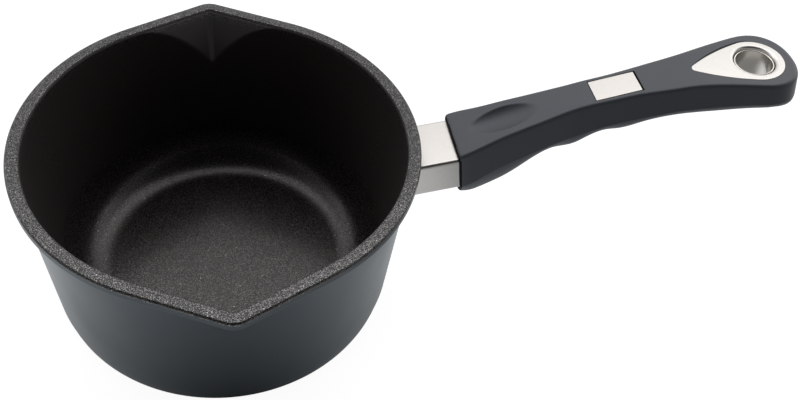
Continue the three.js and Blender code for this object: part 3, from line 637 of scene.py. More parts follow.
def lacquer_material():
    """Outside of the casting: smooth glossy dark grey with faint turning marks."""
    material, tree, shader, place = new_material(
        "lacquer", Specular_IOR_Level=0.6, Specular_Tint=(0.74, 0.88, 1.0, 1)
    )
    cloud = noise(tree, place, 35, 3.0)
    colour = blend_colour(tree, cloud, (0.0075, 0.0120, 0.0165), (0.0105, 0.0155, 0.0205))
    fine = noise(tree, place, 1800, 2.0)
    marks = noise(tree, place, 1400, 2.0, (0.01, 0.01, 1))
    height = math_node(tree, "ADD", fine, multiply(tree, marks, 0.8))
    drive(
        tree,
        shader,
        Base_Color=colour,
        Roughness=remap(tree, cloud, 0.3, 0.7, 0.3, 0.36),
        Normal=bump(tree, height, 0.00002, 0.4),
    )
    return material


def grained_material(name, colours, cloud, grain, roughness, depth, **settings):
    """Two colours mixed by one noise, with a second one for the roughness and the bump. A noise is
    its scale, its detail and its stretch, if any."""
    material, tree, shader, place = new_material(name, **settings)
    colour = blend_colour(tree, noise(tree, place, *cloud), *colours)
    fine = noise(tree, place, *grain)
    drive(tree, shader, Base_Color=colour, Roughness=remap(tree, fine, 0.3, 0.7, *roughness))
    if depth:
        drive(tree, shader, Normal=bump(tree, fine, depth, 0.5))
    return material


def steel_material(name, colour, roughness, brushed=(0.02, 1, 1)):
    """Satin steel with fine drawn lines along the axis that brushed shrinks."""
    colours = (tuple(0.94 * c for c in colour), colour)
    spread = (roughness - 0.04, roughness + 0.05)
    lines = (9000, 2.0, brushed)
    return grained_material(name, colours, (90, 3.0), lines, spread, 0.000008, Metallic=1.0)


COATING = coating_material()
LACQUER = lacquer_material()

# Handle moulding: matt near-black plastic with a fine grain
PLASTIC = grained_material(
    "plastic",
    ((0.029, 0.033, 0.037), (0.034, 0.038, 0.043)),
    (60, 3.0),
    (5200, 2.0),
    (0.46, 0.56),
    0.00003,
    Specular_IOR_Level=0.85,
    Specular_Tint=(0.88, 0.9, 1.0, 1),
)

# The handle's front edge round the ferrule: near-black painted shade, standing in for the shade in
# the gap at the ferrule
PAINTED_SHADE_PLASTIC = grained_material(
    "plastic_painted_shade",
    ((0.002, 0.002, 0.0025), (0.004, 0.004, 0.005)),
    (5200, 2.0),
    (5200, 2.0),
    (0.6, 0.75),
    None,
    Specular_IOR_Level=0.15,
)
SATIN = steel_material("satin_steel", (0.53, 0.507, 0.483), 0.3)
PLATE = steel_material("plate_steel", (0.63, 0.607, 0.583), 0.3)
DRAWN = steel_material("drawn_steel", (0.6, 0.57, 0.53), 0.22, (1, 1, 0.05))
FASTENER = steel_material("fastener_steel", (0.6, 0.6, 0.61), 0.28, (1, 1, 1))

# Plain die casting, seen only inside
CASTING = grained_material(
    "casting",
    ((0.36, 0.37, 0.39), (0.5, 0.51, 0.53)),
    (900, 3.0),
    (900, 3.0),
    (0.4, 0.55),
    0.00005,
    Metallic=0.9,
)


# Pan


def wall_radius(z):
    """Outside of the wall below the band."""
    return np.interp(z, (0, BAND_BOTTOM), (WALL_BASE, WALL_TOP))


def inner_radius(z):
    """Inside of the wall above the floor's fillet."""
    return np.interp(z, (INNER_FOOT, INNER_TOP), (INNER_FOOT_RADIUS, RIM_INNER))


def wall_tool(wall, clearance, heights, segments):
    """A round tool that stands out from one of the pan's walls by a clearance."""
    rings = [circle(float(wall(z)) + clearance, z, segments) for z in heights]
    return make_object("wall", loft(rings))


def lip_outline(psi, distance, rounding):
    """Distance from the pan's axis of a lip's flat face and its rounded corner, at angles psi from
    the lip. The face is tangent to a circle of the given distance about the pan's axis."""
    face = distance / np.cos(np.clip(LIP_ANGLE - psi, 0, None))
    centre = (distance - rounding) / math.cos(LIP_ANGLE)
    across = rounding * math.sin(LIP_ANGLE)
    meet = math.atan2(across, centre + rounding * math.cos(LIP_ANGLE))
    inside = np.clip(rounding**2 - (centre * np.sin(psi)) ** 2, 0, None)
    corner = centre * np.cos(psi) + np.sqrt(inside)
    return np.where(psi < meet, corner, face)


def lip_wall(psi, z, wall, top, softness, roundings):
    """Radius of a wall at height z, pushed out where the lip's faces stand beyond it."""
    start = wall(LIP_FOOT) * math.cos(LIP_ANGLE)
    share = np.clip((z - LIP_FOOT) / (top - LIP_FOOT), 0, 1)
    distance = start + (wall(top) - start) * share
    rounding = roundings[0] + (roundings[1] - roundings[0]) * share
    face = lip_outline(psi, distance, rounding)
    face = face - distance * LIP_FACE_FALL * np.clip(psi - LIP_ANGLE, 0, None)
    reach = softness * np.clip((top - z) / LIP_CREASE_FADE, 0, 1) + 1e-6
    if z <= LIP_FOOT - softness:
        return np.full_like(psi, wall(z))
    return smooth_max(np.full_like(psi, wall(z)), face, reach)


def pan_angles():
    """Directions round the pan, closer together at the two lips."""
    zone = np.arange(-LIP_ZONE, LIP_ZONE, DIRECTION_STEP)
    plain = np.linspace(LIP_ZONE, math.pi - LIP_ZONE, PLAIN_DIRECTIONS, endpoint=False)
    half = np.concatenate((zone, plain)) + math.pi / 2
    return np.concatenate((half, half + math.pi))


def pan_rows():
    """The wall's section from the underside to the floor, as (kind, radius, z) rows."""
    quarter = math.pi / 2

    def rounded(kind, centre_radius, centre_z, radius, start, end, steps):
        points = arc((centre_radius, centre_z), radius, start, end, steps)
        return [(kind, r, z) for r, z in points]

    flat = WALL_BASE - BASE_ROUNDING
    rows = [("plain", MIDDLE_RING, 0.0), ("plain", flat - FLAT_MARGIN, 0.0)]
    rows += rounded("plain", flat, BASE_ROUNDING, BASE_ROUNDING, -quarter, -WALL_LEAN, 16)
    fine_rows = np.arange(LIP_FOOT - 4, BAND_BOTTOM - BAND_FILLET - 0.2, ROW_STEP)
    rows += [("outer", 0, z) for z in (*OUTER_ROWS, *fine_rows)]
    edge = BAND_FILLET
    rows += rounded("rim", WALL_TOP + edge, BAND_BOTTOM - edge, edge, quarter, math.pi, 5)[::-1]
    edge = BAND_EDGE_ROUNDING
    rows += rounded("rim", RIM_RADIUS - edge, BAND_BOTTOM + edge, edge, -quarter, 0, 5)
    for below in GROOVES_BELOW_RIM:
        for z, share in GROOVE_SECTION:
            rows.append(("rim", RIM_RADIUS - GROOVE_DEPTH * share, PAN_HEIGHT - below + z))
    edge = RIM_OUTER_ROUNDING
    rows += rounded("top", RIM_RADIUS - edge, PAN_HEIGHT - edge, edge, 0, quarter, 8)
    edge = RIM_INNER_ROUNDING
    rows += rounded("top", RIM_INNER + edge, PAN_HEIGHT - edge, edge, quarter, math.pi, 9)
    fine_rows = np.arange(INNER_TOP - ROW_STEP, LIP_FOOT - 3, -ROW_STEP)
    rows += [("inner", 0, z) for z in (*fine_rows, *INNER_ROWS)]
    edge = FLOOR_FILLET
    foot = INNER_BASE - edge
    rows += rounded("well", foot, FLOOR + edge, edge, -quarter, -INNER_LEAN, 24)[::-1]
    rows += [("well", foot - FLAT_MARGIN, FLOOR), ("well", MIDDLE_RING, FLOOR)]
    return rows


def pan_ring(kind, radius, z, angles):
    """Radii of one row at the given directions."""
    psi = np.abs((angles % math.pi) - math.pi / 2)
    if kind in ("rim", "top"):
        rounding = max(LIP_ROUNDING - (RIM_RADIUS - radius), 0.5)
        return lip_outline(psi, radius, rounding)
    if kind == "outer":
        roundings = (LIP_FOOT_ROUNDING_OUTSIDE, LIP_ROUNDING - (RIM_RADIUS - WALL_TOP))
        return lip_wall(psi, z, wall_radius, BAND_BOTTOM, LIP_CREASE_OUTSIDE, roundings)
    if kind == "inner":
        roundings = (LIP_FOOT_ROUNDING_INSIDE, LIP_ROUNDING - (RIM_RADIUS - RIM_INNER))
        return lip_wall(psi, z, inner_radius, INNER_TOP, LIP_CREASE_INSIDE, roundings)
    return np.full_like(angles, radius)


def pan():
    """The casting: the lofted pan, joined with the notched lug for the handle."""
    angles = pan_angles()
    cosines, sines = np.cos(angles), np.sin(angles)
    rings = []
    for kind, radius, z in pan_rows():
        radii = pan_ring(kind, radius, z, angles)
        rings.append(np.stack((radii * cosines, radii * sines, np.full_like(radii, z)), 1))
    piece = make_object("saucepan_body", loft(rings))
    inset = FERRULE_SHEET + LUG_CLEARANCE
    size = (FERRULE_HALF_WIDTH - inset, FERRULE_HALF_HEIGHT - inset)
    lug = make_object("lug", bar(*size, LUG_CORNER, LUG_ROOT, LUG_END), FERRULE_FRAME)
    groove = make_object("groove", box(*LUG_GROOVE), FERRULE_FRAME)
    notch = make_object("notch", box(*LUG_NOTCH), FERRULE_FRAME)
    cut(lug, groove, notch, wall_tool(inner_radius, LUG_INTO_WALL, LUG_WALL_HEIGHTS, 180))
    combine(piece, [lug], "UNION")
    finish_piece(piece, (LACQUER, COATING), "pan_body")
    paint_coating(piece)


def paint_coating(piece):
    """Gives the rim's top and the inside the coating; the outside keeps the lacquer."""
    for face in piece.data.polygons:
        centre = face.center / MM
        radius = math.hypot(centre.x, centre.y)
        angle = np.array([math.atan2(centre.y, centre.x)])
        surface = pan_ring("inner", 0, min(centre.z, INNER_TOP), angle)[0]
        on_top = centre.z > PAN_HEIGHT - COATED_EDGE
        above_floor = FLOOR - COATED_BELOW_FLOOR < centre.z < PAN_HEIGHT
        if on_top or (above_floor and radius < surface + COATED_INTO_WALL):
            face.material_index = 1


# Ferrule


def ferrule():
    """A box sleeve of sheet steel, shaped to the pan's wall."""
    outer = (FERRULE_HALF_WIDTH, FERRULE_HALF_HEIGHT, FERRULE_CORNER)
    inner = [size - FERRULE_SHEET for size in outer]
    sleeve = bar(*outer, FERRULE_ROOT, FERRULE_END)
    piece = make_object("bolster_sleeve", sleeve, FERRULE_FRAME)
    inside = bar(*inner, FERRULE_ROOT - OVERCUT, FERRULE_END + OVERCUT)
    hollow = make_object("hollow", inside, FERRULE_FRAME)
    heights = (FERRULE_WALL_FROM, BAND_BOTTOM)
    cut(piece, hollow, wall_tool(wall_radius, FERRULE_OFF_WALL, heights, 360))
    finish_piece(piece, (SATIN,), "ferrule")


# Handle


def outline_stations():
    """Stations round the handle's outline: (x, y, normal x, normal y, distance to the front)."""
    stations = []
    front_x = FERRULE_START[0] + HANDLE_FRONT / math.cos(FERRULE_TILT)

    def add(x, y, nx, ny):
        length = math.hypot(nx, ny)
        stations.append((x, y, nx / length, ny / length, x - front_x))

    turn = np.linspace(0, math.pi / 2, FRONT_STATIONS)
    near_start, near_end, near_step = NEAR_FRONT
    offsets = list(FRONT_REACH * (1 - np.cos(turn)))
    offsets += list(np.arange(FRONT_REACH + near_start, near_end, near_step))
    xs = [front_x + offset for offset in offsets]
    joint = WIDTH_AT[-1][0]
    xs += list(np.linspace(xs[-1] + GRIP_START, joint, GRIP_STATIONS, endpoint=False))
    for x in xs:
        rise = (width_at(x + 0.05) - width_at(x - 0.05)) / 0.1
        add(x, float(width_at(x)), -rise, 1)
    for angle in np.linspace(END_START_ANGLE, math.pi / 2, END_STATIONS):
        sine = math.sin(angle)
        cosine = max(math.cos(angle), 0.0)
        x = END_CENTRE + END_LENGTH * math.copysign(abs(sine) ** END_POWER, sine)
        y = END_HALF_WIDTH * cosine**END_POWER
        add(x, y, sine / END_LENGTH, cosine / END_HALF_WIDTH)
    return stations


def front_inset(distance, most):
    """How far the section draws in at the rounded front lip, where it draws in by most."""
    left = 1 - min(max(distance, 0.0), FRONT_REACH) / FRONT_REACH
    return most * (1 - math.sqrt(max(1 - left**2, 0.0)))


def thumb_floor(x, y):
    """Height of the thumb hollow's ellipsoid at each point, and far above where it has none."""
    long, wide, deep = THUMB_SIZE
    cos, sin = math.cos(THUMB_SLOPE), math.sin(THUMB_SLOPE)
    u = x - THUMB_CENTRE[0]
    a = (sin / long) ** 2 + (cos / deep) ** 2
    b = 2 * u * cos * sin * (1 / long**2 - 1 / deep**2)
    c = (u * cos / long) ** 2 + (u * sin / deep) ** 2 + (y / wide) ** 2 - 1
    inside = b * b - 4 * a * c
    low = (-b - np.sqrt(np.clip(inside, 0, None))) / (2 * a)
    return np.where(inside > 0, THUMB_CENTRE[1] + low, 1e3)


def ease(value):
    """Rises smoothly from 0 to 1 as its value does."""
    value = min(max(value, 0.0), 1.0)
    return value * value * (3 - 2 * value)


def leaned(points, front_weight, end_weight):
    """Leans a section: square to the ferrule's axis at the front, sloping outwards at the end."""
    moved = points.copy()
    moved[:, 0] -= front_weight * math.tan(FERRULE_TILT) * (points[:, 2] - FERRULE_START[1])
    moved[:, 0] -= end_weight * END_LEAN * (points[:, 2] - top_at(points[:, 0]))
    return moved


def place_section(station, insets, heights):
    """Points of half a section from their insets and a function for their heights."""
    x, y, nx, ny, distance = station
    insets = np.array(insets, float)
    front_weight = ease(1 - (distance - FRONT_LEAN_FROM) / FRONT_LEAN_OVER)
    end_weight = ease((x - END_LEAN_FROM) / (END_LEAN_TO - END_LEAN_FROM))
    px = x - insets * nx
    py = np.clip(y - insets * ny, 0, None)
    points = np.stack((px, py, heights(px, py)), 1)
    # Leaning moves a point along the handle, where the heights differ: three passes settle it
    for _ in range(3):
        moved = leaned(points, front_weight, end_weight)
        points[:, 2] = heights(moved[:, 0], py)
    return leaned(points, front_weight, end_weight)


def reach_to_middle(station):
    """Inset at which a section reaches the handle's middle."""
    _, y, _, ny, _ = station
    return END_LENGTH if ny <= 1e-9 or y / ny > END_LENGTH else y / ny


def upper_section(station):
    """Half of the upper shell's section, from the top's middle to the parting line's middle."""
    draw = front_inset(station[4], FRONT_DRAW_SIDE)
    drop = front_inset(station[4], FRONT_DRAW_TOP)
    middle = reach_to_middle(station)
    rounding = TOP_EDGE_ROUNDING
    side = PARTING_EDGE_UPPER
    side_break = side * PARTING_EDGE_BREAK
    top_insets = np.linspace(middle, rounding + draw, TOP_COLUMNS)
    turn = np.linspace(0, math.pi / 2, 9)[1:]
    edge_insets = draw + rounding * (1 - np.sin(turn))
    drops = rounding * (1 - np.cos(turn))
    insets = [*top_insets, *edge_insets, *[draw] * SIDE_STEPS]
    insets += [draw + side_break, draw + side, middle]

    def heights(px, py):
        top = top_at(px) - drop
        edge = edge_at(px) + PARTING_GAP / 2
        z = top.copy()
        flat = slice(0, TOP_COLUMNS)
        z[flat] = smooth_min(top[flat], thumb_floor(px[flat], py[flat]), THUMB_EDGE)
        start = TOP_COLUMNS + len(turn)
        bend = slice(TOP_COLUMNS, start)
        z[bend] = top[bend] - drops
        low = edge[start] + side
        for step in range(SIDE_STEPS):
            share = (step + 1) / SIDE_STEPS
            z[start + step] = z[start - 1] * (1 - share) + low * share
        last = start + SIDE_STEPS
        z[last] = edge[last] + side_break
        z[last + 1:] = edge[last + 1:]
        return z

    return place_section(station, insets, heights)


def lower_section(station):
    """Half of the lower shell's section, from the parting line's middle to the underside's."""
    draw = front_inset(station[4], FRONT_DRAW_SIDE)
    lift = front_inset(station[4], FRONT_DRAW_TOP)
    middle = reach_to_middle(station)
    x, y, nx, _, _ = station
    ended = max(nx, 0.0) ** 1.5 if x > END_CENTRE else 0.0
    bevel = min(BEVEL_SHARE * max(y, nx * END_LENGTH), BEVEL_MOST)
    bevel *= 1 - (1 - END_BEVEL_SHARE) * ended
    knee_inset = BEVEL_KNEE_INSET + (END_KNEE_INSET - BEVEL_KNEE_INSET) * ended
    knee_drop = BEVEL_KNEE_DROP + (END_KNEE_DROP - BEVEL_KNEE_DROP) * ended
    corner = PARTING_EDGE_LOWER
    shares = np.linspace(0, 1, 11)[1:-1]
    bulge = 4 * shares * (1 - shares)
    bevel_insets = bevel * (shares + bulge * (knee_inset - 0.5))
    bevel_drops = np.minimum(shares + bulge * (knee_drop - 0.5), 1)
    turn_insets = [bevel + BASE_EDGE_WIDTH * s for s in BASE_EDGE_SHARES]
    flat = bevel + BASE_EDGE_WIDTH + 0.8
    base_insets = np.linspace(flat, max(middle, flat + 0.1), BASE_COLUMNS)
    insets = [middle, corner, corner * 0.2, 0.0, *bevel_insets, *turn_insets, *base_insets]
    insets = np.minimum(np.array(insets) + draw, middle)

    def heights(px, _):
        edge = edge_at(px) - PARTING_GAP / 2
        base = base_at(px) + lift
        z = base.copy()
        z[0:2] = edge[0:2]
        z[2] = edge[2] - corner * PARTING_EDGE_BREAK
        z[3] = edge[3] - corner
        end = base + BASE_EDGE_HEIGHT
        for i, fall in enumerate(bevel_drops):
            z[4 + i] = edge[4 + i] - corner + (end[4 + i] - edge[4 + i] + corner) * fall
        first = 4 + len(bevel_drops)
        for i, s in enumerate(BASE_EDGE_SHARES):
            z[first + i] = base[first + i] + BASE_EDGE_HEIGHT * (1 - s) ** 2
        return z

    return place_section(station, insets, heights)


def handle_half(name, section):
    """One shell as a closed form, lofted along the handle and mirrored about its middle. Its last
    section lies on the middle plane, so it needs no cap."""
    rings = []
    for station in outline_stations():
        right = section(station)
        right[0, 1] = 0.0
        right[-1, 1] = 0.0
        left = right[1:-1][::-1] * (1, -1, 1)
        rings.append(np.concatenate((right, left)))
    vertices, faces = loft(rings)
    return make_object(name, (vertices, faces[:-1]))


def ferrule_pocket():
    """Room for the ferrule in the handle, wider at its mouth."""
    rings = []
    flare_length, flare_room = POCKET_FLARE
    stations = (
        (HANDLE_FRONT - POCKET_MOUTH[0], flare_room + POCKET_MOUTH[1]),
        (HANDLE_FRONT, flare_room),
        (HANDLE_FRONT + flare_length, POCKET_ROOM),
        (FERRULE_END + GAP, POCKET_ROOM),
    )
    for x, room in stations:
        size = (FERRULE_HALF_WIDTH + room, FERRULE_HALF_HEIGHT + room)
        rings.append([(x, a, b) for a, b in rounded_rectangle(*size, FERRULE_CORNER + room)])
    return make_object("pocket", loft(rings), FERRULE_FRAME)


def flared_tool(name, outline, depth, frame_matrix):
    """A pocket tool whose walls open out at the surface, so that the pocket's edge is broken.
    The outline is a function of how far it grows."""
    widest = SURFACE_FLARE + SURFACE_MARGIN
    levels = (
        (-depth, 0.0),
        (-SURFACE_FLARE, 0.0),
        (SURFACE_MARGIN, widest),
        (SURFACE_ABOVE, widest),
    )
    return make_object(name, loft(stacked(outline, levels)), frame_matrix)


def button_slot_outline(grow):
    """The button's pocket, with a wider gap behind the plate than on its other sides."""
    front = BUTTON_HALF_LENGTH + BUTTON_SIDE_GAP
    rear = BUTTON_HALF_LENGTH + BUTTON_REAR_GAP
    half = (front + rear) / 2 + grow
    half_width = BUTTON_HALF_WIDTH + BUTTON_SIDE_GAP + grow
    middle = (rear - front) / 2
    corners = rounded_rectangle(half, half_width, BUTTON_CORNER + grow, 4)
    return [(a + middle, b) for a, b in corners]


def drop_outline(grow):
    """The hanging plate's outline: a round end, two bulged flanks and a small round tip."""
    end = PLATE_END_RADIUS + grow
    tip = PLATE_TIP_RADIUS + grow
    lean = math.asin((PLATE_END_RADIUS - PLATE_TIP_RADIUS) / PLATE_TIP_REACH)
    end_angle = math.pi / 2 + lean * PLATE_FLANK[0]
    tip_angle = math.pi / 2 + lean * PLATE_FLANK[1]
    points = arc((0, 0), end, -end_angle, end_angle, 72)
    first = np.array(points[-1])
    last = np.array((-PLATE_TIP_REACH + tip * math.cos(tip_angle), tip * math.sin(tip_angle)))
    pull = np.array((-PLATE_BULGE[0], PLATE_BULGE[1] + grow))
    flank = []
    for t in np.linspace(0, 1, 25)[1:-1]:
        flank.append(tuple((1 - t) ** 2 * first + 2 * t * (1 - t) * pull + t * t * last))
    points += flank
    points += arc((-PLATE_TIP_REACH, 0), tip, tip_angle, 2 * math.pi - tip_angle, 16)
    points += [(a, -b) for a, b in reversed(flank)]
    return points


def eye_tool(name, radius, low, high):
    """A round tool on the hanging eye's axis."""
    return make_object(name, disc(radius, low, high), EYE_FRAME)


def finish_shell(piece, name):
    """Finishes a shell; its front edge round the ferrule gets the near-black painted shade
    material.
    """
    finish_piece(piece, (PLASTIC, PAINTED_SHADE_PLASTIC), name)
    # Faces near the front edge get the near-black painted shade
    into = FERRULE_FRAME.inverted()
    for face in piece.data.polygons:
        place = into @ (face.center / MM)
        on_top = place.z > FERRULE_HALF_HEIGHT + 1.0
        edge = PAINTED_SHADE_TOP if on_top else PAINTED_SHADE_SIDE
        if place.x < HANDLE_FRONT + edge:
            face.material_index = 1


def upper_shell():
    """The handle's upper moulding, hollow, with pockets for ferrule, button, plate and eyelet."""
    piece = handle_half("handle_top_moulding", upper_section)
    wide = [(CAVITY_STEP[0], CAVITY_BELOW), CAVITY_STEP, *CAVITY_CEILING[2:]]
    wide.append((CAVITY_REAR, CAVITY_BELOW))
    narrow = [(CAVITY_CEILING[0][0], CAVITY_BELOW), *CAVITY_CEILING[:3]]
    narrow.append((CAVITY_CEILING[2][0], CAVITY_BELOW))
    tools = [
        ferrule_pocket(),
        make_object("narrow", slab(narrow, CAVITY_FRONT_HALF_WIDTH)),
        make_object("wide", slab(wide, CAVITY_HALF_WIDTH)),
        make_object("ears", box(*EAR_POCKET)),
        flared_tool("slot", button_slot_outline, SLOT_DEPTH, BUTTON_FRAME),
        flared_tool(
            "recess", lambda grow: drop_outline(PLATE_SEAM + grow), RECESS_DEPTH, EYE_FRAME
        ),
        eye_tool("seat", COLLAR_RADIUS + GAP, -COLLAR_ROUNDING - COLLAR_LAP - GAP, EYE_ABOVE),
        eye_tool("bore", EYELET_OUTER + GAP, EYE_BELOW, EYE_ABOVE),
    ]
    cut(piece, *tools)
    finish_shell(piece, "handle_upper_shell")


def lower_shell():
    """The handle's lower cover, with holes for its screws and for the eyelet."""
    piece = handle_half("handle_base_moulding", lower_section)
    floor = [(x, float(base_at(x)) + LOWER_FLOOR)
             for x in np.linspace(LOWER_CAVITY_FRONT, CAVITY_REAR - 1, 19)]
    cavity = [*floor, (CAVITY_REAR - 1, CAVITY_ABOVE), (LOWER_CAVITY_FRONT, CAVITY_ABOVE)]
    flange = EYELET_BOTTOM + EYELET_FLANGE_SHEET + EYELET_ROOM
    tools = [
        ferrule_pocket(),
        make_object("cavity", slab(cavity, LOWER_CAVITY_HALF_WIDTH)),
        eye_tool("bore", EYELET_OUTER + EYELET_ROOM, EYE_BELOW, EYE_ABOVE),
        eye_tool("flange", EYELET_FLANGE + EYELET_ROOM, EYE_BELOW, flange),
    ]
    for name in SCREW_NODES:
        tools += screw_tools(name)
    cut(piece, *tools)
    finish_shell(piece, "handle_lower_shell")


def screw_tools(name):
    """Head and shank holes in the lower shell for one screw."""
    low, high = box_mm(name)
    place = Matrix.Translation(Vector(((low.x + high.x) / 2, (low.y + high.y) / 2, 0)))
    seat = low.z + SCREW_HEAD_HEIGHT
    holes = (
        ("head", SCREW_HEAD_RADIUS, low.z - SCREW_HOLE_BELOW, seat + SCREW_SEAT_ROOM),
        ("shank", SCREW_SHANK_RADIUS, seat, high.z + SCREW_HOLE_ABOVE),
    )
    return [
        make_object(hole, disc(radius + SCREW_ROOM, bottom, top, SCREW_SEGMENTS), place)
        for hole, radius, bottom, top in holes
    ]


# Steel pieces on the handle


def hanging_plate():
    """A sheet with a rounded outer edge, drawn down into a collar round the eye."""
    rings = plate_rings(drop_outline, PLATE_SHEET, PLATE_EDGE)
    angles = [math.atan2(b, a) for a, b in drop_outline(0)]
    centre = (COLLAR_RADIUS, -COLLAR_ROUNDING)
    inner = COLLAR_ROUNDING - COLLAR_SHEET
    foot = -COLLAR_ROUNDING - COLLAR_LAP
    collar = [
        (COLLAR_RADIUS + COLLAR_FLAT, 0.0),
        *arc(centre, COLLAR_ROUNDING, math.pi / 2, math.pi, 10),
        (COLLAR_RADIUS - COLLAR_ROUNDING, foot),
        (COLLAR_RADIUS - inner, foot),
        *arc(centre, inner, math.pi, math.pi / 2, 5),
        (COLLAR_RADIUS + COLLAR_FLAT, -PLATE_SHEET),
    ]
    rings += [level_ring(radius, z, angles) for radius, z in collar]
    piece = make_object("hanging_inlay", loft(rings, looped=True), EYE_FRAME)
    finish_piece(piece, (PLATE,), "hanging_plate")


def hanging_eyelet():
    """Drawn sleeve with a rounded lip at the top and a flange under the handle."""
    lip = (EYELET_OUTER - EYELET_INNER) / 2
    middle = EYELET_INNER + lip
    flange_top = EYELET_BOTTOM + EYELET_FLANGE_SHEET
    foot = EYELET_FOOT_ROUNDING
    foot_centre = (EYELET_INNER + foot, EYELET_BOTTOM + foot)
    profile = [
        *arc((middle, EYELET_TOP - lip), lip, 0, math.pi, 10),
        (EYELET_INNER, EYELET_MIDDLE),
        (EYELET_INNER, EYELET_BOTTOM + foot),
        *arc(foot_centre, foot, math.pi, math.pi * 1.5, 6)[1:],
        (EYELET_FLANGE - EYELET_FLANGE_EDGE, EYELET_BOTTOM),
        (EYELET_FLANGE, EYELET_BOTTOM + EYELET_FLANGE_EDGE),
        (EYELET_FLANGE, flange_top),
        (EYELET_OUTER, flange_top),
        (EYELET_OUTER, EYELET_MIDDLE),
    ]
    piece = make_object("eye_sleeve", turned(profile), EYE_FRAME)
    finish_piece(piece, (DRAWN,), "hanging_eyelet")


def release_button():
    """Flat steel plate with broken edges."""

    def outline(grow):
        size = (BUTTON_HALF_LENGTH + grow, BUTTON_HALF_WIDTH + grow)
        return rounded_rectangle(*size, BUTTON_CORNER)

    rings = plate_rings(outline, BUTTON_SHEET, BUTTON_EDGE)
    piece = make_object("release_plate", loft(rings), BUTTON_FRAME)
    finish_piece(piece, (SATIN,), "release_button", "latch")


def dress_node(name, material):
    """A node of the construction that shows as it is, with its own material."""
    obj = frame["nodes"][name]
    obj.data.materials.clear()
    obj.data.materials.append(material)


# Stage, in metres

FLOOR_SIZE = 30.0
FLOOR_LEVEL = -0.0004
FLOOR_SHARE = 0.3
FLOOR_LIFT = 0.94
FLOOR_MIRRORED = 0.95
FLOOR_MIRRORED_TINT = (0.93, 0.97, 1.0)
# Painted shadow on the floor as glossy surfaces reflect it: darker about a centre in front of the
# pan, and in front of the handle
SHADE_CENTRE = (0.0, -0.06, 0.0)
SHADE_REACH = (0.02, 0.123)
SHADE_LEVEL = 0.04
HANDLE_SHADE = 0.8
HANDLE_SHADE_X = (0.11, 0.15)
HANDLE_SHADE_Y = (0.03, -0.05)


def floor_material():
    """White floor that keeps the object's shadow. It is white to the camera. Where glossy surfaces
    reflect it, it carries a painted shadow in front of the pan and the handle, whose back is to the
    light."""
    material, tree, shader, coordinates = new_material(
        "floor", Roughness=0.9, Specular_IOR_Level=0.0
    )
    shader.inputs["Base Color"].default_value = (FLOOR_SHARE, FLOOR_SHARE, FLOOR_SHARE, 1)
    path = node(tree, "LightPath").outputs
    place = node(tree, "SeparateXYZ", {"Vector": coordinates}).outputs
    away = node(
        tree, "VectorMath", {0: coordinates, 1: SHADE_CENTRE}, operation="DISTANCE"
    ).outputs["Value"]
    # Painted shadow in reflections, darkest near the centre in front of the pan and in front of the
    # handle
    open_floor = remap(tree, away, *SHADE_REACH, SHADE_LEVEL, FLOOR_MIRRORED)
    beside = remap(tree, place["X"], *HANDLE_SHADE_X, 0.0, HANDLE_SHADE)
    before = remap(tree, place["Y"], *HANDLE_SHADE_Y)
    unshaded = math_node(tree, "SUBTRACT", 1.0, multiply(tree, beside, before))
    open_floor = multiply(tree, open_floor, unshaded)
    mirrored = math_node(tree, "MAXIMUM", path["Is Glossy Ray"], path["Is Transmission Ray"])
    mirrored = multiply(tree, mirrored, open_floor)
    seen = multiply(tree, path["Is Camera Ray"], FLOOR_LIFT)
    drive(
        tree,
        shader,
        Emission_Color=blend_colour(tree, path["Is Camera Ray"], FLOOR_MIRRORED_TINT, (1, 1, 1)),
        Emission_Strength=math_node(tree, "MAXIMUM", seen, mirrored),
    )
    return material


def stage():
    """The floor, just under the pan."""
    mesh = bpy.data.meshes.new("floor")
    signs = ((-1, -1), (1, -1), (1, 1), (-1, 1))
    corners = [(a * FLOOR_SIZE, b * FLOOR_SIZE, FLOOR_LEVEL) for a, b in signs]
    mesh.from_pydata(corners, [], [(0, 1, 2, 3)])
    floor = bpy.data.objects.new("floor", mesh)
    bpy.context.scene.collection.objects.link(floor)
    floor.data.materials.append(floor_material())


# The world: where it is dark, and its levels on the left, in front and behind
DARK_SIDE = (0.0, -0.5, 0.87)
DARK_ZONE = (0.6, 0.9)
DARK_LEVEL = 0.06
LEFT_LEVEL = 0.65
FRONT_LEVEL = 0.5
BACK_LEVEL = 1.2
MATT_LEVEL = 0.4
LEFT_ZONE = (-0.9, -0.3)
FRONT_ZONE = (-0.1, 0.45)


def world():
    """A white studio with a dark ceiling, dimmer on the left and in front. It is white to the
    camera, and lights matt surfaces more weakly than it shows in glossy ones."""
    made = bpy.data.worlds.new("studio")
    made.use_nodes = True
    tree = made.node_tree
    background = tree.nodes["Background"]
    direction = node(tree, "TexCoord").outputs["Generated"]
    toward = node(
        tree, "VectorMath", {0: direction, 1: DARK_SIDE}, operation="DOT_PRODUCT"
    ).outputs["Value"]
    open_side = remap(
        tree, toward, *DARK_ZONE, 1.0, DARK_LEVEL, interpolation_type="SMOOTHSTEP"
    )
    along = node(tree, "SeparateXYZ", {"Vector": direction}).outputs
    leftward = remap(tree, along["X"], *LEFT_ZONE, LEFT_LEVEL, 1.0)
    frontward = remap(tree, along["Y"], *FRONT_ZONE, FRONT_LEVEL, BACK_LEVEL)
    open_side = multiply(tree, multiply(tree, open_side, leftward), frontward)
    path = node(tree, "LightPath").outputs
    matt = multiply(tree, path["Is Diffuse Ray"], 1.0 - MATT_LEVEL)
    level = multiply(tree, open_side, math_node(tree, "SUBTRACT", 1.0, matt))
    strength = math_node(tree, "MAXIMUM", level, path["Is Camera Ray"])
    background.inputs["Color"].default_value = (1, 1, 1, 1)
    tree.links.new(strength, background.inputs["Strength"])
    bpy.context.scene.world = made


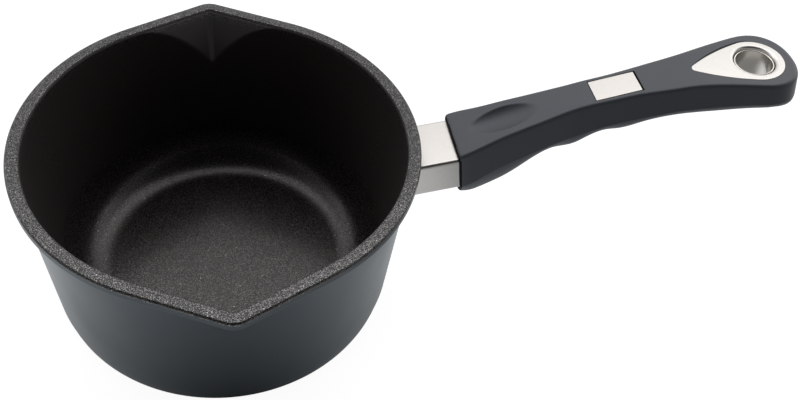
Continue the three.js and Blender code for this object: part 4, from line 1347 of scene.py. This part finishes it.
# Lamps: name, place, size and power; all of them face one point
LAMPS = (
    ("overhead", (0.1, 0.5, 1.25), (1.4, 0.8), 4.2),
    ("right", (1.25, 0.5, 0.8), (0.8, 0.8), 2.2),
    ("left", (-1.05, 0.7, 0.8), (0.8, 0.8), 2.1),
)
LAMP_TARGET = (0.06, 0, 0.06)


def area_light(name, location, size, power):
    data = bpy.data.lights.new(name, "AREA")
    data.shape = "RECTANGLE"
    data.size, data.size_y = size
    data.energy = power
    light = bpy.data.objects.new(name, data)
    light.location = location
    aim = Vector(LAMP_TARGET) - Vector(location)
    light.rotation_euler = aim.to_track_quat("-Z", "Y").to_euler()
    bpy.context.scene.collection.objects.link(light)


# Camera: the photograph's own view, in pixels of its 800 by 400 frame

FOCAL_PIXELS = 891.76
PRINCIPAL_POINT = (384.3, 182.36)
IMAGE_SIZE = (800, 400)
CAMERA_YAW = 0.2842
CAMERA_PITCH = 0.8158
CAMERA_ROLL = 0.1397
CAMERA_PLACE = (-5.938, -287.01, 372.715)


def camera():
    """The camera, with a shift that puts the principal point where the photograph has it."""
    data = bpy.data.cameras.new("camera")
    data.sensor_width = 36.0
    data.lens = FOCAL_PIXELS / IMAGE_SIZE[0] * data.sensor_width
    data.shift_x = (IMAGE_SIZE[0] / 2 - PRINCIPAL_POINT[0]) / IMAGE_SIZE[0]
    data.shift_y = (PRINCIPAL_POINT[1] - IMAGE_SIZE[1] / 2) / IMAGE_SIZE[0]
    data.clip_start = 0.01
    cy, sy = math.cos(CAMERA_YAW), math.sin(CAMERA_YAW)
    cp, sp = math.cos(CAMERA_PITCH), math.sin(CAMERA_PITCH)
    forward = Vector((sy * cp, cy * cp, -sp))
    level = Vector((cy, -sy, 0))
    upward = level.cross(forward)
    right = level * math.cos(CAMERA_ROLL) + upward * math.sin(CAMERA_ROLL)
    up = upward * math.cos(CAMERA_ROLL) - level * math.sin(CAMERA_ROLL)
    matrix = Matrix((right, up, -forward)).transposed().to_4x4()
    obj = bpy.data.objects.new("camera", data)
    obj.matrix_world = Matrix.Translation(Vector(CAMERA_PLACE) * MM) @ matrix
    bpy.context.scene.collection.objects.link(obj)
    bpy.context.scene.camera = obj


# Assembly

pan()
ferrule()
upper_shell()
lower_shell()
hanging_plate()
hanging_eyelet()
release_button()
dress_node("handle_core", CASTING)
dress_node("button_carrier", PLASTIC)
for name in ("latch_lever", "latch_pivot_pin", "return_spring", *SCREW_NODES):
    dress_node(name, FASTENER)
stage()
world()
for lamp in LAMPS:
    area_light(*lamp)
camera()
bpy.context.scene.view_settings.view_transform = "Standard"
